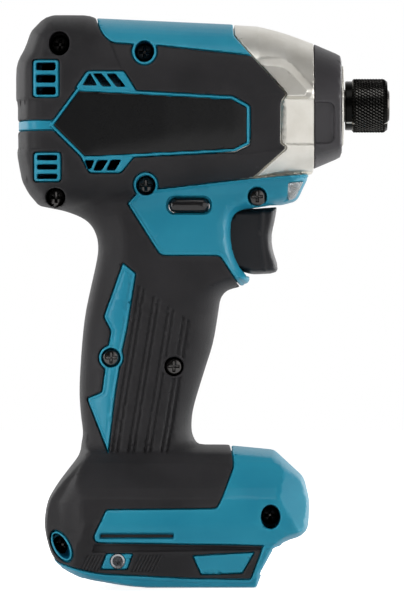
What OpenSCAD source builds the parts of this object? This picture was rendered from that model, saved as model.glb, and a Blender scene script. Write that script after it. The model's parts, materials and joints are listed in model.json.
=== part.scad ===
// Cordless impact driver, bare tool without its battery.
// +X is the nose, +Y the left side, +Z up. The origin is under the middle of the tool, where it stands.

/* [Motor] */
// Plastic behind the rear motor bearing
rear_wall = 3.5; // [2.5:0.1:5]
// Outside diameter of the stator stack
stator_d = 46; // [44:0.5:47]
// Length of the stator stack
stator_l = 14; // [11:0.5:16]
// Overhang of the windings at each end of the stack
coil_overhang = 5; // [4:0.25:6]
// Diameter of the rotor core
rotor_d = 22; // [20:0.5:23]
// Diameter of the rotor shaft
shaft_d = 5; // [4:0.1:5.5]
// Outside diameter of the rear motor bearing
rear_bearing_d = 16; // [14:0.5:18]
// Width of the rear motor bearing
rear_bearing_w = 5; // [4:0.25:6]
// Outside diameter of the front motor bearing
front_bearing_d = 15; // [14:0.5:17]
// Width of the front motor bearing
front_bearing_w = 5; // [4:0.25:6]
// Diameter of the cooling fan
fan_d = 33; // [28:0.5:35]
// Width of the cooling fan
fan_w = 6; // [5:0.25:7]
// Blades on the cooling fan
fan_blades = 15; // [9:1:19]

/* [Gear train] */
// Module of the gears
gear_module = 0.75; // [0.7:0.01:0.8]
// Teeth on the sun pinion
sun_teeth = 9; // [9:3:9]
// Teeth on each planet
planet_teeth = 21; // [21:3:21]
// Face width of the gears
gear_w = 7; // [6:0.25:8]
// Thickness of each carrier plate
carrier_t = 2.7; // [2:0.1:3.5]
// Diameter of the planet pins
planet_pin_d = 4; // [3:0.1:5]
// Share of a tooth that is taken off for running clearance
backlash = 0.12; // [0.08:0.01:0.2]
// Thickness of the spindle where its bearing sits
journal_t = 2.98; // [2.4:0.1:3]
// Thickness of the spindle bearing round the spindle
spindle_race_t = 4.5; // [4:0.1:5]
// Width of the spindle bearing
spindle_bearing_w = 5; // [4:0.25:6]

/* [Impact mechanism] */
// Diameter of the hammer
hammer_d = 38; // [36:0.25:40]
// Thickness of the hammer from its spindle to its rim
hammer_depth = 11.5; // [11:0.1:12]
// Length of the hammer without its lugs
hammer_l = 14.9; // [14:0.1:16]
// Distance the hammer draws back against its spring
hammer_retreat = 5.2; // [5:0.1:5.5]
// Length of the hammer's lugs
lug_l = 4.6; // [4:0.1:4.7]
// Solid front web of the hammer
hammer_web = 4; // [3.5:0.1:5]
// Diameter of the cam balls between spindle and hammer
cam_ball_d = 4.5; // [4:0.1:4.6]
// Wire of the hammer spring
spring_wire = 2.2; // [1.8:0.1:2.3]
// Turns of the hammer spring
spring_turns = 2.4; // [2:0.1:2.6]
// Diameter of the thrust balls under the spring washer
thrust_ball_d = 2.5; // [2:0.1:2.7]
// Thickness of the spring washer
washer_t = 1.1; // [0.8:0.1:1.4]
// Thickness of the anvil's wings
wing_t = 4.8; // [4:0.1:5.5]
// Width of the anvil's wings
wing_w = 9; // [7:0.25:9]
// Diameter of the anvil in its bush
anvil_d = 12; // [11.5:0.1:12.5]

/* [Bit holder] */
// Distance across the flats of the bit socket, for quarter inch bits
hex_af = 6.45; // [6.4:0.01:6.6]
// Depth of the bit socket
socket_depth = 22; // [20:0.5:24]
// Diameter of the anvil inside the sleeve
socket_d = 11; // [10.8:0.1:11.4]
// Diameter of the balls that hold the bit
bit_ball_d = 3; // [2.8:0.05:3.1]
// Outside diameter of the knurled sleeve
sleeve_d = 18.2; // [17.5:0.1:19]
// Length of the knurled sleeve
sleeve_l = 14.2; // [14:0.1:16]
// Wire of the sleeve spring
sleeve_wire = 0.6; // [0.5:0.05:0.65]

/* [Hammer case and bumper] */
// Thickness of the hammer case at its back
case_back_t = 7.8; // [7.5:0.1:8.2]
// Thickness of the hammer case at the bumper
case_front_t = 1.4; // [1.2:0.1:2]
// Diameter of the rubber bumper at its front
bumper_front_d = 32.4; // [31:0.2:34]
// Length of the bearing nose in front of the hammer
nose_l = 13.2; // [12.5:0.1:15]
// Outside diameter of the bearing nose
nose_d = 27; // [24:0.5:29]
// Outside diameter of the anvil bush
bush_d = 17; // [15.5:0.1:18]

/* [Housing] */
// Thickness of the housing beside the hammer case
head_side_t = 3.5; // [3.2:0.1:4.5]
// Height of the housing above the spindle axis
head_rise = 30.6; // [30:0.1:32]
// Depth of the housing below the hammer case
head_under = 8.9; // [8.5:0.1:10]
// Length of the grip between head and foot
grip_l = 78; // [74:0.5:86]
// Width of the grip
grip_w = 33; // [32:0.25:36]
// Distance from the back of the head to the middle of the grip
grip_setback = 45; // [44:0.25:46]
// Height of the foot
foot_h = 48; // [46:0.25:52]
// Length of the foot
foot_l = 90; // [88:0.5:96]
// Width of the foot
foot_w = 76; // [74:0.5:80]
// Thickness of the plastic shell under the soft grip
shell_wall = 2.6; // [2:0.1:3]
// Thickness of the soft grip
skin = 1.8; // [1.2:0.1:2]
// Thickness of the side plates
plate_t = 0.8; // [0.5:0.1:1]

/* [Battery slide] */
// Thickness of the foot beside the slide
slide_side_t = 5; // [4.5:0.1:6]
// Width of each lip of the slide
lip_w = 4.5; // [3.5:0.25:6]
// Height of the lips
lip_h = 5; // [4:0.25:6]
// Height of the slide
slide_h = 14; // [13:0.25:14.5]
// Length of the terminal block
terminal_l = 26; // [22:0.5:30]
// Width of the terminal block
terminal_w = 36; // [30:0.5:40]

/* [Trigger and switch] */
// Width of the trigger
trigger_w = 19; // [16:0.5:21]
// Travel of the trigger
trigger_travel = 6; // [4:0.25:6.5]
// Diameter of the trigger's plunger
plunger_d = 4; // [3:0.25:5]
// Width of the switch body
switch_w = 21; // [18:0.5:22]

/* [Fasteners] */
// Diameter of the housing screws
screw_d = 4; // [3.5:0.1:4.2]
// Diameter of the screws' heads
screw_head_d = 6.2; // [5.6:0.1:6.3]
// Height of the screws' heads
screw_head_h = 2.6; // [2:0.1:3]
// Length of the screws under the head
screw_l = 20; // [16:0.5:22]
// Thread diameter of the hook's insert
insert_d = 4; // [3:0.5:5]
// Outside diameter of the hook's insert
insert_od = 5; // [4.6:0.1:5.1]

/* [Clearances] */
// Gap between parts that are pressed or clamped together
seat_gap = 0.1; // [0.06:0.01:0.15]
// Radial gap of a shaft in its bearing or bush
run_gap = 0.05; // [0.03:0.01:0.08]
// Gap beside parts that move freely
free_gap = 0.4; // [0.3:0.05:0.5]

/* [Hidden] */
$fn = 64;
ring_n = 20;

// Reach of cuts to the side, and their lap past the split plane
side_reach = 60;
split_lap = 1;

// Colours
TEAL = [0.13, 0.50, 0.61];
CHARCOAL = [0.20, 0.20, 0.20];
BLACK = [0.07, 0.07, 0.08];
SILVER = [0.72, 0.71, 0.68];
STEEL = [0.60, 0.60, 0.62];
COPPER = [0.72, 0.42, 0.22];
BRASS = [0.78, 0.62, 0.30];
CLEAR = [0.85, 0.90, 0.95, 0.6];
GREEN = [0.10, 0.35, 0.20];

// Height and depth of a tooth, in modules
addendum = 0.6;
dedendum = 1.25;

// Sizes that follow the hammer and the sun gear
spindle_d = hammer_d - 2 * hammer_depth;
sun_tip_r = gear_module * (sun_teeth / 2 + addendum);
spindle_bore_r = sun_tip_r + 0.7;
journal_r = spindle_bore_r + journal_t;
spindle_bearing_d = 2 * (journal_r + spindle_race_t);
case_bore_r = hammer_d / 2 + 0.5;
case_d = 2 * (case_bore_r + case_back_t);
bumper_d = 2 * (case_bore_r + case_front_t);
head_w = case_d + 2 * head_side_t;
head_drop = case_d / 2 + head_under;

// Stations along the spindle axis, counted from the back of the head
fan_gap = 1;
board_t = 1.6;
box_lip = 1.4;
plate_gap = 0.3;
tip_l = 0.7;
bumper_lead = 0.9;
s_rear_bearing = rear_wall;
s_fan = s_rear_bearing + rear_bearing_w + fan_gap;
s_coil = s_fan + fan_w + fan_gap;
s_core = s_coil + coil_overhang;
s_core_end = s_core + stator_l;
s_coil_end = s_core_end + coil_overhang;
s_board = s_coil_end + plate_gap;
s_box = s_board + board_t + 2.2;
s_front_bearing = s_box + box_lip;
s_spindle_bearing = s_front_bearing + front_bearing_w + 1;
s_carrier = s_spindle_bearing + spindle_bearing_w + plate_gap;
s_planet = s_carrier + carrier_t + plate_gap;
s_carrier_front = s_planet + gear_w + plate_gap;
s_seat = s_carrier_front + carrier_t;
s_case = s_seat + 3;
s_hammer = s_seat + hammer_retreat + 0.6;
s_hammer_face = s_hammer + hammer_l;
s_hammer_floor = s_hammer_face - hammer_web;
s_wing = s_hammer_face + free_gap;
s_nose = s_wing + wing_t + plate_gap;
s_bumper = s_nose + 3.9;
s_nose_end = s_nose + nose_l;
s_bumper_end = s_nose_end + bumper_lead;
s_sleeve = s_bumper_end + 0.6;
s_sleeve_end = s_sleeve + sleeve_l;
overall_l = s_sleeve_end + tip_l;

// Frame
x_rear = -overall_l / 2;
axis_z = foot_h + grip_l + head_drop;
x_grip = x_rear + grip_setback;
head_bottom = axis_z - head_drop;
x_chin = x_rear + s_bumper - 2;

// Gears
ring_teeth = sun_teeth + 2 * planet_teeth;
carrier_r = gear_module * (sun_teeth + planet_teeth) / 2;
planet_tip_r = gear_module * (planet_teeth / 2 + addendum);
ring_root_r = gear_module * (ring_teeth / 2 + dedendum);
ring_od_r = ring_root_r + 2.2;
carrier_plate_r = gear_module * (ring_teeth / 2 - addendum) - 1.6;
case_spigot_r = ring_od_r + 2.4;
o_ring_r = 0.75;
s_o_ring = s_spindle_bearing + 4.1;

// Impact mechanism
cam_ball_r = cam_ball_d / 2;
cam_ring_r = spindle_d / 2 - 0.1;
cam_bore_r = cam_ring_r + cam_ball_r + 0.25;
cam_lean = 40;
hammer_hub_r = cam_bore_r + 1;
spring_r = hammer_hub_r + 0.9 + spring_wire / 2;
hammer_cavity_r = spring_r + spring_wire / 2 + 0.5;
s_cam_ball = s_hammer_face - 5.5;
s_thrust = s_hammer_floor - thrust_ball_d / 2 - 0.05;
s_washer = s_thrust - thrust_ball_d / 2 - 0.05 - washer_t;
wing_r = hammer_d / 2 - 1.5;
lug_inner_r = wing_w / 2 / sin(27.5);
lug_start = 100;
lug_sweep = 50;
pilot_d = 7;
pilot_l = 5;

// Bit holder
bit_ball_r = bit_ball_d / 2;
s_bit_ball = s_sleeve + 6;
bit_ball_ring = hex_af / 2 - 0.6 + bit_ball_r;
land_r = bit_ball_ring + bit_ball_r + 0.15;
s_land = s_bit_ball - 0.7;
land_l = 2;
sleeve_recess_r = land_r + 1;
sleeve_cavity_r = sleeve_d / 2 - 1.2;
sleeve_washer_t = 0.8;
s_sleeve_washer = s_sleeve_end - 2;
ring_wire_r = 0.45;
s_retaining = s_sleeve_washer + sleeve_washer_t + ring_wire_r + 0.05;
retaining_r = socket_d / 2 + 0.1;

// Trigger and switch
z_trigger = head_bottom + 0.6;
trigger_h = 21.6;
x_switch = x_grip + 14;
switch_l = 21;
switch_h = 19;
x_trigger_back = x_switch + trigger_travel + 1.6;
spring_pocket = 7;
lever_l = 12;
lever_h = 4;
lever_span = grip_w + 3;
lever_pos = [x_grip + 13.5, head_bottom + 2.4];
z_switch = lever_pos[1] - lever_h / 2 - free_gap - 1 - switch_h;
z_plunger = z_switch + switch_h / 2;

// Lamp lenses
lens_l = 4.6;
lens_w = 5;
lens_h = 5.4;
lens_in = 1;
lens_low = 4.3;
lens_back = 2.2;
led_board_t = 1.6;
led_board_w = grip_w - 7;
x_led = x_chin - lens_l - lens_back;

// Motor leads
lead_r = 1;
lead_pitch = 3;
lead_count = 3;
x_lead = x_rear + s_coil_end - 2.9;

// Foot
x_foot_back = x_grip - 35.6;
x_foot_front = x_foot_back + foot_l;
ceiling_t = 2.6;
slide_stop = x_foot_back + 14;
slide_w = foot_w - 2 * slide_side_t;
slide_gap = slide_w - 2 * lip_w;
board_size = [44, 44, 12];
x_terminal = slide_stop + 4;
blade_places = [-13.5, -4.5, 4.5, 13.5];
blade_t = 0.8;
blade_h = 3.4;
blade_back = 3.4;
blade_top = slide_h;

// Housing screws as [x, z, how far out the head seats], each in a ring of the hard shell
screw_ring_t = 1.2;
screw_places = [
    [x_rear + s_fan + 5.7, axis_z + 20.1, 14],
    [x_rear + 13.8, axis_z - 31.1, 10],
    [x_rear + s_board + 2.8, axis_z + 17.5, 14],
    [x_rear + s_board + 3.2, axis_z - 27.1, 14],
    [x_rear + s_hammer + 5.3, head_bottom + 5.3, 12.4],
    [x_grip - 12.7, foot_h + 29.2, 11.4],
    [x_grip + 8.4, foot_h + 26.3, 11.4],
    [x_foot_front - 13.7, foot_h - 23.6, 14],
    [x_foot_back + 6.6, foot_h - 33.5, 14]
];

// Height of the flat middle of the head's sides, from the spindle axis
flat_mid = -6;

// Outlines on the sides, as [distance from the back of the head, height above the spindle axis]
plate_outline = [
    [11.8, -7.4], [21.2, 5.3], [73.2, 2.5], [78.9, -0.7], [78.9, -13.6], [73.7, -16.2], [23.4, -18.8]
];
plate_border = 1.1;
plate_mid = [46, -6.5];
plate_sink = 1.2;
plate_lean = 1.6;
upper_vent_outline = [[20.6, 5], [24.4, 10.9], [36.8, 10.9], [41.2, 4]];
lower_vent_outline = [[21.6, -18], [25, -23.1], [36.3, -23.1], [41.2, -17.4]];
rear_band_outline = [[-1, -5.5], [-1, -8.8], [14, -8.8], [14, -5.5]];
top_strip_outline = [
    [27.5, 34], [28.6, 24.5], [32, 20.3], [40.1, 19.8], [48.3, 19.5], [79.2, 16.2], [79.2, 34]
];
upper_exhaust = [6.4, 2.1, 8.7, 12.4];
lower_exhaust = [6.8, -25.9, 8.9, 9.6];
// Edge of the housing round the hammer case, as [distance from the case's step, height above the axis]
case_seam = [
    [0, 40], [0, 23.3], [5.9, 16], [17.6, 3.1], [15.9, 1], [15.7, -13.2], [17.6, -14.7],
    [6.4, -24.8], [6.4, -26.5], [120, -26.5], [120, 40]
];

// Outlines on the grip, as [distance from the middle of the grip, height above or below the head's underside]
trigger_panel_outline = [
    [-7.2, 3], [-3.5, 7], [3, 7.7], [34.4, 11.5], [60, 13.5], [60, -25.5], [32.8, -24.2], [30.3, -24.4],
    [23.8, -14.5], [4.6, -14.5], [3.4, -13.7]
];
stripe_outline = [
    [-8.3, -16.9], [-4.3, -20.5], [-7.3, -39.2], [-8.7, -46.1], [-9.9, -52.7], [-11.3, -62.1],
    [-13.6, -81], [-20.9, -62.5], [-15.7, -60.4], [-14.8, -52.7], [-13.7, -45.2], [-12.7, -39.6],
    [-15.2, -35.1], [-8.9, -17.1]
];

// Outlines on the foot, as [distance from its back, height]
foot_panel_outline = [
    [62.1, 52], [63.8, 43.2], [63.8, 40.7], [60, 30.4], [58.2, 27.1], [21.3, 26.8], [17.2, 17.5],
    [18.3, 15.8], [73.7, 14.9], [100, 14.9], [100, 52]
];
foot_rim_outline = [
    [-5, 12], [2, 10.8], [11.8, 7.2], [19.1, 5.3], [50.9, 3.9], [69.5, 3.5], [74, 14.9], [100, 14.9],
    [100, -1], [-5, -1]
];
foot_window_outline = [[50.3, 11.6], [71, 12.8], [66.8, 5.5], [53.1, 5]];
hook_pad_outline = [[21.5, 12.3], [30.5, 12.3], [28.6, 7], [19.6, 7]];
hook_place = [25.4, 9.65];
insert_wall = 0.8;

// Power that makes a superellipse from a circle's sine or cosine
function bulge(v, e) = sign(v) * pow(abs(v), 2 / e);

// Ring across the head: place, height above and depth below the axis, half width, squareness
function head_ring(s, up, down, half, e) = [
    for (i = [0 : ring_n - 1])
        let (a = 360 * i / ring_n, h = bulge(sin(a), e))
        [s, half * bulge(cos(a), e), flat_mid + (h > 0 ? up - flat_mid : down + flat_mid) * h]
];

// Level ring round the grip or the foot: height, back, front, half width, squareness
function level_ring(z, back, front, half, e) = [
    for (i = [0 : ring_n - 1])
        let (a = 360 * i / ring_n)
        [(back + front) / 2 + (front - back) / 2 * bulge(cos(a), e), half * bulge(sin(a), e), z]
];

// Solid through a list of rings
module loft(rings) {
    n = len(rings[0]);
    last = len(rings) - 1;
    sides = [
        for (i = [0 : last - 1], j = [0 : n - 1])
            let (k = (j + 1) % n)
            each [[i * n + j, (i + 1) * n + j, (i + 1) * n + k], [i * n + j, (i + 1) * n + k, i * n + k]]
    ];
    first_cap = [for (j = [0 : n - 1]) j];
    last_cap = [for (j = [n - 1 : -1 : 0]) last * n + j];
    polyhedron([for (r = rings) each r], concat(sides, [first_cap, last_cap]), convexity = 8);
}

// Tube along a list of points, its rings turned to a direction that the path never follows
module tube(path, r, aside, sides = 6) {
    last = len(path) - 1;
    rings = [
        for (i = [0 : last])
            let (
                ahead = path[min(i + 1, last)] - path[max(i - 1, 0)],
                t = ahead / norm(ahead),
                u0 = cross(t, aside),
                u = u0 / norm(u0),
                v = cross(t, u)
            )
            [for (j = [0 : sides - 1]) path[i] + r * (cos(360 * j / sides) * u + sin(360 * j / sides) * v)]
    ];
    loft(rings);
}

// Points of a helix along X
function coil_path(s0, s1, r, turns) = [
    for (i = [0 : ceil(turns * 8)])
        let (t = i / ceil(turns * 8), a = 360 * turns * t)
        [s0 + (s1 - s0) * t, r * cos(a), r * sin(a)]
];

// Least gap between the turns of a helix's wire
function coil_gap(s0, s1, turns, wire) = (s1 - s0) / turns - wire;

// Points of an arc from angle a0 to a1
function arc(c, r, a0, a1, n) = [for (i = [0 : n]) let (a = a0 + (a1 - a0) * i / n) c + r * [cos(a), sin(a)]];

// Frame whose X runs along the spindle from the back of the head
module on_head() {
    translate([x_rear, 0, axis_z]) children();
}

// Turned shape on the spindle axis, drawn as [radius, station]
module turned(profile) {
    on_head() rotate([0, 90, 0]) rotate_extrude() polygon(profile);
}

// Ring on the spindle axis
module sleeve_ring(s, l, r_in, r_out) {
    turned([[r_in, s], [r_out, s], [r_out, s + l], [r_in, s + l]]);
}

// Children drawn in a plane across the spindle axis, at station s
module across(s) {
    on_head() translate([s, 0, 0]) rotate([0, 90, 0]) children();
}

// Side outline drawn as [x, z], from just past the split plane out through the right side
module right_prism(points) {
    translate([0, split_lap, 0]) rotate([90, 0, 0]) linear_extrude(side_reach + split_lap) polygon(points);
}

// Everything to the right of the split plane
module right_half() {
    translate([-200, -side_reach, -1]) cube([400, side_reach, 400]);
}

// Involute angle, in degrees
function involute(a) = tan(a) * 180 / PI - a;

// Half angle of a tooth at radius r
function tooth_half(teeth, r, thin) =
    let (base = gear_module * teeth / 2 * cos(20))
    90 / teeth * (1 - thin) + involute(20) - (r > base ? involute(acos(base / r)) : 0);

// Outline of a gear from its root and tip radii
module gear_outline(teeth, root_r, tip_r, thin) {
    radii = [for (i = [0 : 4]) root_r + (tip_r - root_r) * i / 4];
    polygon([
        for (k = [0 : teeth - 1])
            let (mid = 360 * k / teeth)
            each concat(
                [for (r = radii) let (a = mid - tooth_half(teeth, r, thin)) r * [cos(a), sin(a)]],
                [for (i = [4 : -1 : 0])
                    let (r = radii[i], a = mid + tooth_half(teeth, r, thin)) r * [cos(a), sin(a)]]
            )
    ]);
}

// Outer form of the head, drawn in by inset
module head_form(inset) {
    half = head_w / 2 - inset;
    up = head_rise - inset;
    down = head_drop - inset;
    on_head() loft([
        head_ring(inset, up - 16.5, down - 20, half - 15.2, 4.5),
        head_ring(inset + 3.1, up - 11.7, down - 8.4, half - 4, 4.8),
        head_ring(inset + 6, up - 5.6, down - 4.2, half - 1, 4.8),
        head_ring(inset + 9, up - 2, down - 2.2, half - 0.3, 4.6),
        head_ring(inset + 12, up, down - 1.2, half, 4.2),
        head_ring(s_core + 2.5, up, down, half, 3.6),
        head_ring(s_core + 6, up - 1, down - 0.2, half, 3.6),
        head_ring(s_front_bearing + 4, up - 2, down - 3.2, half - 0.4, 3.5),
        head_ring(s_case, up - 3.1, down - 8.2, half - 1.5, 3.2),
        head_ring(s_hammer_face + 1.1, up - 4.8, down - 11, half - 3.2, 3)
    ]);
}

// Ring of the grip: height, back and front from the grip's middle, extra half width, squareness
function grip_ring(z, back, front, wider, e, inset) =
    level_ring(z, x_grip + back + inset, x_grip + front - inset, grip_w / 2 + wider - inset, e);

// Outer form of the grip with the trigger block and the chin under the hammer case, drawn in by inset
module grip_form(inset) {
    b = head_bottom;
    f = foot_h;
    chin = x_chin - x_grip;
    loft([
        grip_ring(f - 8, -26, 18, 8, 3, inset),
        grip_ring(f - 1, -22.4, 15.8, 3.2, 2.8, inset),
        grip_ring(f + 5.4, -22.5, 14.3, 1, 2.7, inset),
        grip_ring(f + 17.5, -23.7, 16.1, 0, 2.6, inset),
        grip_ring(f + 25.6, -23.5, 18.8, -0.1, 2.6, inset),
        grip_ring(b - 36, -22, 22.9, 0.1, 2.6, inset),
        grip_ring(b - 28, -20.4, 24.2, 0.4, 2.6, inset),
        grip_ring(b - 26, -20, 26.3, 0.5, 3, inset),
        grip_ring(b - 24.2, -19.5, 33.4, 0.7, 3.6, inset),
        grip_ring(b - 21.8, -18.9, 34.2, 0.9, 3.6, inset),
        grip_ring(b - 17.7, -18, 30.8, 1.2, 3.6, inset),
        grip_ring(b - 10.8, -17, 28.6, 1.5, 3.6, inset),
        grip_ring(b - 5.7, -18.3, 28.1, 1.5, 3.6, inset),
        grip_ring(b, -22.4, 30.8, 1.5, 3.6, inset),
        grip_ring(b + 1.5, -23, 42, 1.2, 3.6, inset),
        grip_ring(b + 2.3, -23.5, chin - 6.2, 1, 4.5, inset),
        grip_ring(b + 4, -25, chin - 4.1, 0.6, 5, inset),
        grip_ring(b + 10.5, -27, chin - 0.6, -0.5, 5, inset),
        grip_ring(b + 12.2, -27, chin, -1, 5, inset),
        grip_ring(b + 14, -27, chin - 0.4, -1.5, 5, inset)
    ]);
}

// Ring of the foot: height, and how far it lies inside the foot's largest outline
function foot_ring(z, back, front, side, e, inset) =
    level_ring(z, x_foot_back + back + inset, x_foot_front - front - inset, foot_w / 2 - side - inset, e);

// Outer form of the foot, drawn in by inset
module foot_form(inset) {
    h = foot_h;
    loft([
        foot_ring(0, 28.6, 17.9, 3.5, 5, inset),
        foot_ring(2.7, 12.8, 16.7, 1.8, 4.5, inset),
        foot_ring(4.7, 8.1, 15.8, 1, 4.5, inset),
        foot_ring(8.8, 3.8, 13.8, 0.4, 4.5, inset),
        foot_ring(12.8, 1.9, 11.1, 0, 4.5, inset),
        foot_ring(14.8, 1, 8.8, 0, 4.5, inset),
        foot_ring(17, 0.4, 3, 0, 4.5, inset),
        foot_ring(20, 0, 0.6, 0, 4.5, inset),
        foot_ring(h - 21, 1, 0, 0.6, 5.5, inset),
        foot_ring(h - 17, 2.7, 0.6, 1.9, 6, inset),
        foot_ring(h - 13, 5.1, 1.7, 5.4, 6, inset),
        foot_ring(h - 8.9, 8.2, 4, 10.2, 6, inset),
        foot_ring(h - 2.8 - inset, 13.2, 10.1, 17.8, 4.5, inset),
        foot_ring(h - 0.2 - inset, 14, 17, 21, 3.5, inset)
    ]);
}

// Whole outer form, drawn in by inset
module body_form(inset) {
    head_form(inset);
    grip_form(inset);
    foot_form(inset);
}

// Outside of the hammer case, grown by gap
module case_form(gap) {
    steps = 8;
    drop = (case_d - bumper_d) / 2;
    s0 = s_case - gap;
    s_spigot = s_spindle_bearing - gap;
    spigot_r = case_spigot_r + gap;
    flank = [
        for (i = [0 : steps])
            let (t = i / steps)
            [case_d / 2 - drop * pow(t, 1.8) + gap, s0 + (s_bumper - s0) * t]
    ];
    turned(concat([[0, s_spigot], [spigot_r, s_spigot], [spigot_r, s0]], flank, [[0, s_bumper]]));
}

// Outlines placed on the right side
function head_points(points) = [for (p = points) [x_rear + p[0], axis_z + p[1]]];
function case_points(points) = [for (p = points) [x_rear + s_case + p[0], axis_z + p[1]]];
function frame_corners(v) =
    [for (q = [[0, 0], [1, 0], [1, 1], [0, 1]]) [v[0] + q[0] * v[2], v[1] + q[1] * v[3]]];
function grip_points(points) = [for (p = points) [x_grip + p[0], head_bottom + p[1]]];
function foot_points(points) = [for (p = points) [x_foot_back + p[0], p[1]]];

// Regions where the hard shell comes to the surface on the right side
module hard_regions() {
    right_prism(head_points(plate_outline));
    right_prism(head_points(upper_vent_outline));
    right_prism(head_points(lower_vent_outline));
    right_prism(head_points(rear_band_outline));
    right_prism(head_points(top_strip_outline));
    for (v = [upper_exhaust, lower_exhaust]) right_prism(head_points(frame_corners(v)));
    right_prism(grip_points(trigger_panel_outline));
    right_prism(grip_points(stripe_outline));
    right_prism(foot_points(foot_panel_outline));
    right_prism(foot_points(foot_rim_outline));
    right_prism(foot_points(foot_window_outline));
    right_prism(foot_points(hook_pad_outline));
    for (p = screw_places)
        translate([p[0], split_lap, p[1]]) rotate([90, 0, 0])
            cylinder(h = side_reach, d = screw_head_d + 2 * screw_ring_t);
}

// Slots of one exhaust vent, through the right wall
module exhaust_slots(v) {
    bar = v[3] / 3;
    for (k = [0 : 2])
        translate([x_rear + v[0] + 1.2, -60, axis_z + v[1] + 0.8 + k * bar])
            cube([v[2] - 2.4, 60 - fan_d / 4, bar - 1.3]);
}

// Slanted slots of the intake vents beside the plate, through the right wall
module intake_slots() {
    for (k = [0 : 2]) {
        translate([x_rear + 25.4 + k * 4, 0, axis_z + 6.2])
            right_prism([[0, 0], [2.4, 0], [k == 0 ? 2.4 : 0.4, 3.6], [k == 0 ? 1.6 : -2, 3.6]]);
        translate([x_rear + 26.2 + k * 3.8, 0, axis_z - 22.1])
            right_prism([[k == 0 ? 0.6 : -1.8, 0], [0.6, 0], [2, 2.8], [-0.4, 2.8]]);
    }
}

// Posts that the housing screws pass through
module screw_posts() {
    for (p = screw_places)
        translate([p[0], 40, p[1]]) rotate([90, 0, 0]) cylinder(h = 80, d = screw_d + 4.4);
}

// Holes for the housing screws, with the head's recess on the right
module screw_holes() {
    for (p = screw_places) translate([p[0], 0, p[1]]) rotate([90, 0, 0]) {
        translate([0, 0, p[2] - screw_l - 1]) cylinder(h = screw_l + 2, d = screw_d + 2 * seat_gap);
        translate([0, 0, p[2]]) cylinder(h = 60, d = screw_head_d + 2 * seat_gap);
    }
}

// Space for the motor, the gears and the hammer case
module drive_cavity() {
    g = seat_gap;
    chamber_r = fan_d / 2 + 1.5;
    turned([
        [0, s_rear_bearing], [rear_bearing_d / 2 + g, s_rear_bearing],
        [rear_bearing_d / 2 + g, s_fan - fan_gap / 2], [chamber_r, s_fan - fan_gap / 2],
        [chamber_r, s_core - g], [stator_d / 2 + g, s_core - g], [stator_d / 2 + g, s_core_end + g],
        [chamber_r, s_core_end + g], [chamber_r, s_box - 0.6], [spindle_bearing_d / 2 + 3.4, s_box - 0.6],
        [spindle_bearing_d / 2 + 3.4, s_spindle_bearing], [0, s_spindle_bearing]
    ]);
    case_form(g);
}

// Ribs that carry the switch and the boards inside the grip and the foot
module inner_ribs() {
    rib_t = 2;
    for (dx = [-16, -6])
        translate([x_switch + dx, 0, z_switch - 1]) rib_pair(rib_t, switch_w / 2 + seat_gap, switch_h + 2);
    translate([x_switch - switch_l - 1, -30, z_switch - 3])
        cube([switch_l + 1, 60, 3 - seat_gap]);
}

// Two ribs that reach in from the side walls to half, on both sides
module rib_pair(t, half, h) {
    for (side = [-1, 1])
        translate([0, side > 0 ? half : -half - 30, 0]) cube([t, 30, h]);
}

// Hollow inside the grip and the foot, without its posts and ribs
module grip_cavity() {
    wall = skin + shell_wall;
    difference() {
        union() {
            intersection() {
                grip_form(wall);
                translate([x_grip - 60, -40, slide_h + ceiling_t])
                    cube([x_led - x_grip + 60, 80, head_bottom + 10 - slide_h - ceiling_t]);
            }
            intersection() {
                foot_form(wall);
                translate([x_grip - 60, -50, slide_h + ceiling_t])
                    cube([150, 100, foot_h - 4 - slide_h - ceiling_t]);
            }
        }
        screw_posts();
        inner_ribs();
    }
}

// Slot under the foot that the battery slides into from the front
module battery_slide() {
    translate([slide_stop, -slide_gap / 2, -1]) cube([foot_l, slide_gap, lip_h + 2]);
    translate([slide_stop, -slide_w / 2, lip_h]) cube([foot_l, slide_w, slide_h - lip_h]);
}

// Opening in front of the switch for the trigger and its travel
module trigger_opening() {
    half = trigger_w / 2 + free_gap;
    translate([x_switch - 1, -half, z_trigger - trigger_h - free_gap])
        cube([40, 2 * half, trigger_h + 2 * free_gap]);
}

// Opening across the housing for the direction lever
module lever_opening() {
    translate([lever_pos[0] - lever_l / 2 - free_gap, -40, lever_pos[1] - lever_h / 2 - free_gap])
        cube([lever_l + 2 * free_gap, 80, lever_h + 2 * free_gap]);
}

// Right half of the hard shell, which the left half mirrors
module housing_half() {
    difference() {
        intersection() {
            union() {
                body_form(skin + seat_gap / 2);
                intersection() {
                    body_form(0);
                    hard_regions();
                }
            }
            right_half();
        }
        plate_recess();
        right_prism(case_points(case_seam));
        drive_cavity();
        grip_cavity();
        battery_slide();
        trigger_opening();
        lever_opening();
        lens_space(seat_gap);
        led_board_block(seat_gap);
        lead_passage();
        terminal_space();
        for (v = [upper_exhaust, lower_exhaust]) exhaust_slots(v);
        intake_slots();
        hook_insert_space();
    }
}

// Children placed on the flat of the right side, drawn as [along, up] from the plate's middle
module on_flat(depth) {
    translate([x_rear + plate_mid[0], depth - head_w / 2 + plate_sink, axis_z + plate_mid[1]])
        rotate([90, 0, plate_lean]) children();
}

// Outline of the side plate from its middle, moved in from the edge of its frame
function plate_shape(inset) = [
    for (p = plate_outline) (p - plate_mid) * (1 - 1.3 * inset / norm(p - plate_mid))
];

// Recess that the side plate lies in
module plate_recess() {
    on_flat(plate_t + seat_gap) linear_extrude(side_reach) polygon(plate_shape(plate_border - seat_gap));
}

// Space through the ceiling of the slide for the terminal block
module terminal_space() {
    g = seat_gap;
    translate([x_terminal - g, -terminal_w / 2 - g, slide_h - 1])
        cube([terminal_l + 2 * g, terminal_w + 2 * g, ceiling_t + 2]);
}

// Right shell, with clear holes for the screws
module right_housing() {
    color(TEAL) difference() {
        housing_half();
        screw_holes();
    }
}

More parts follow.
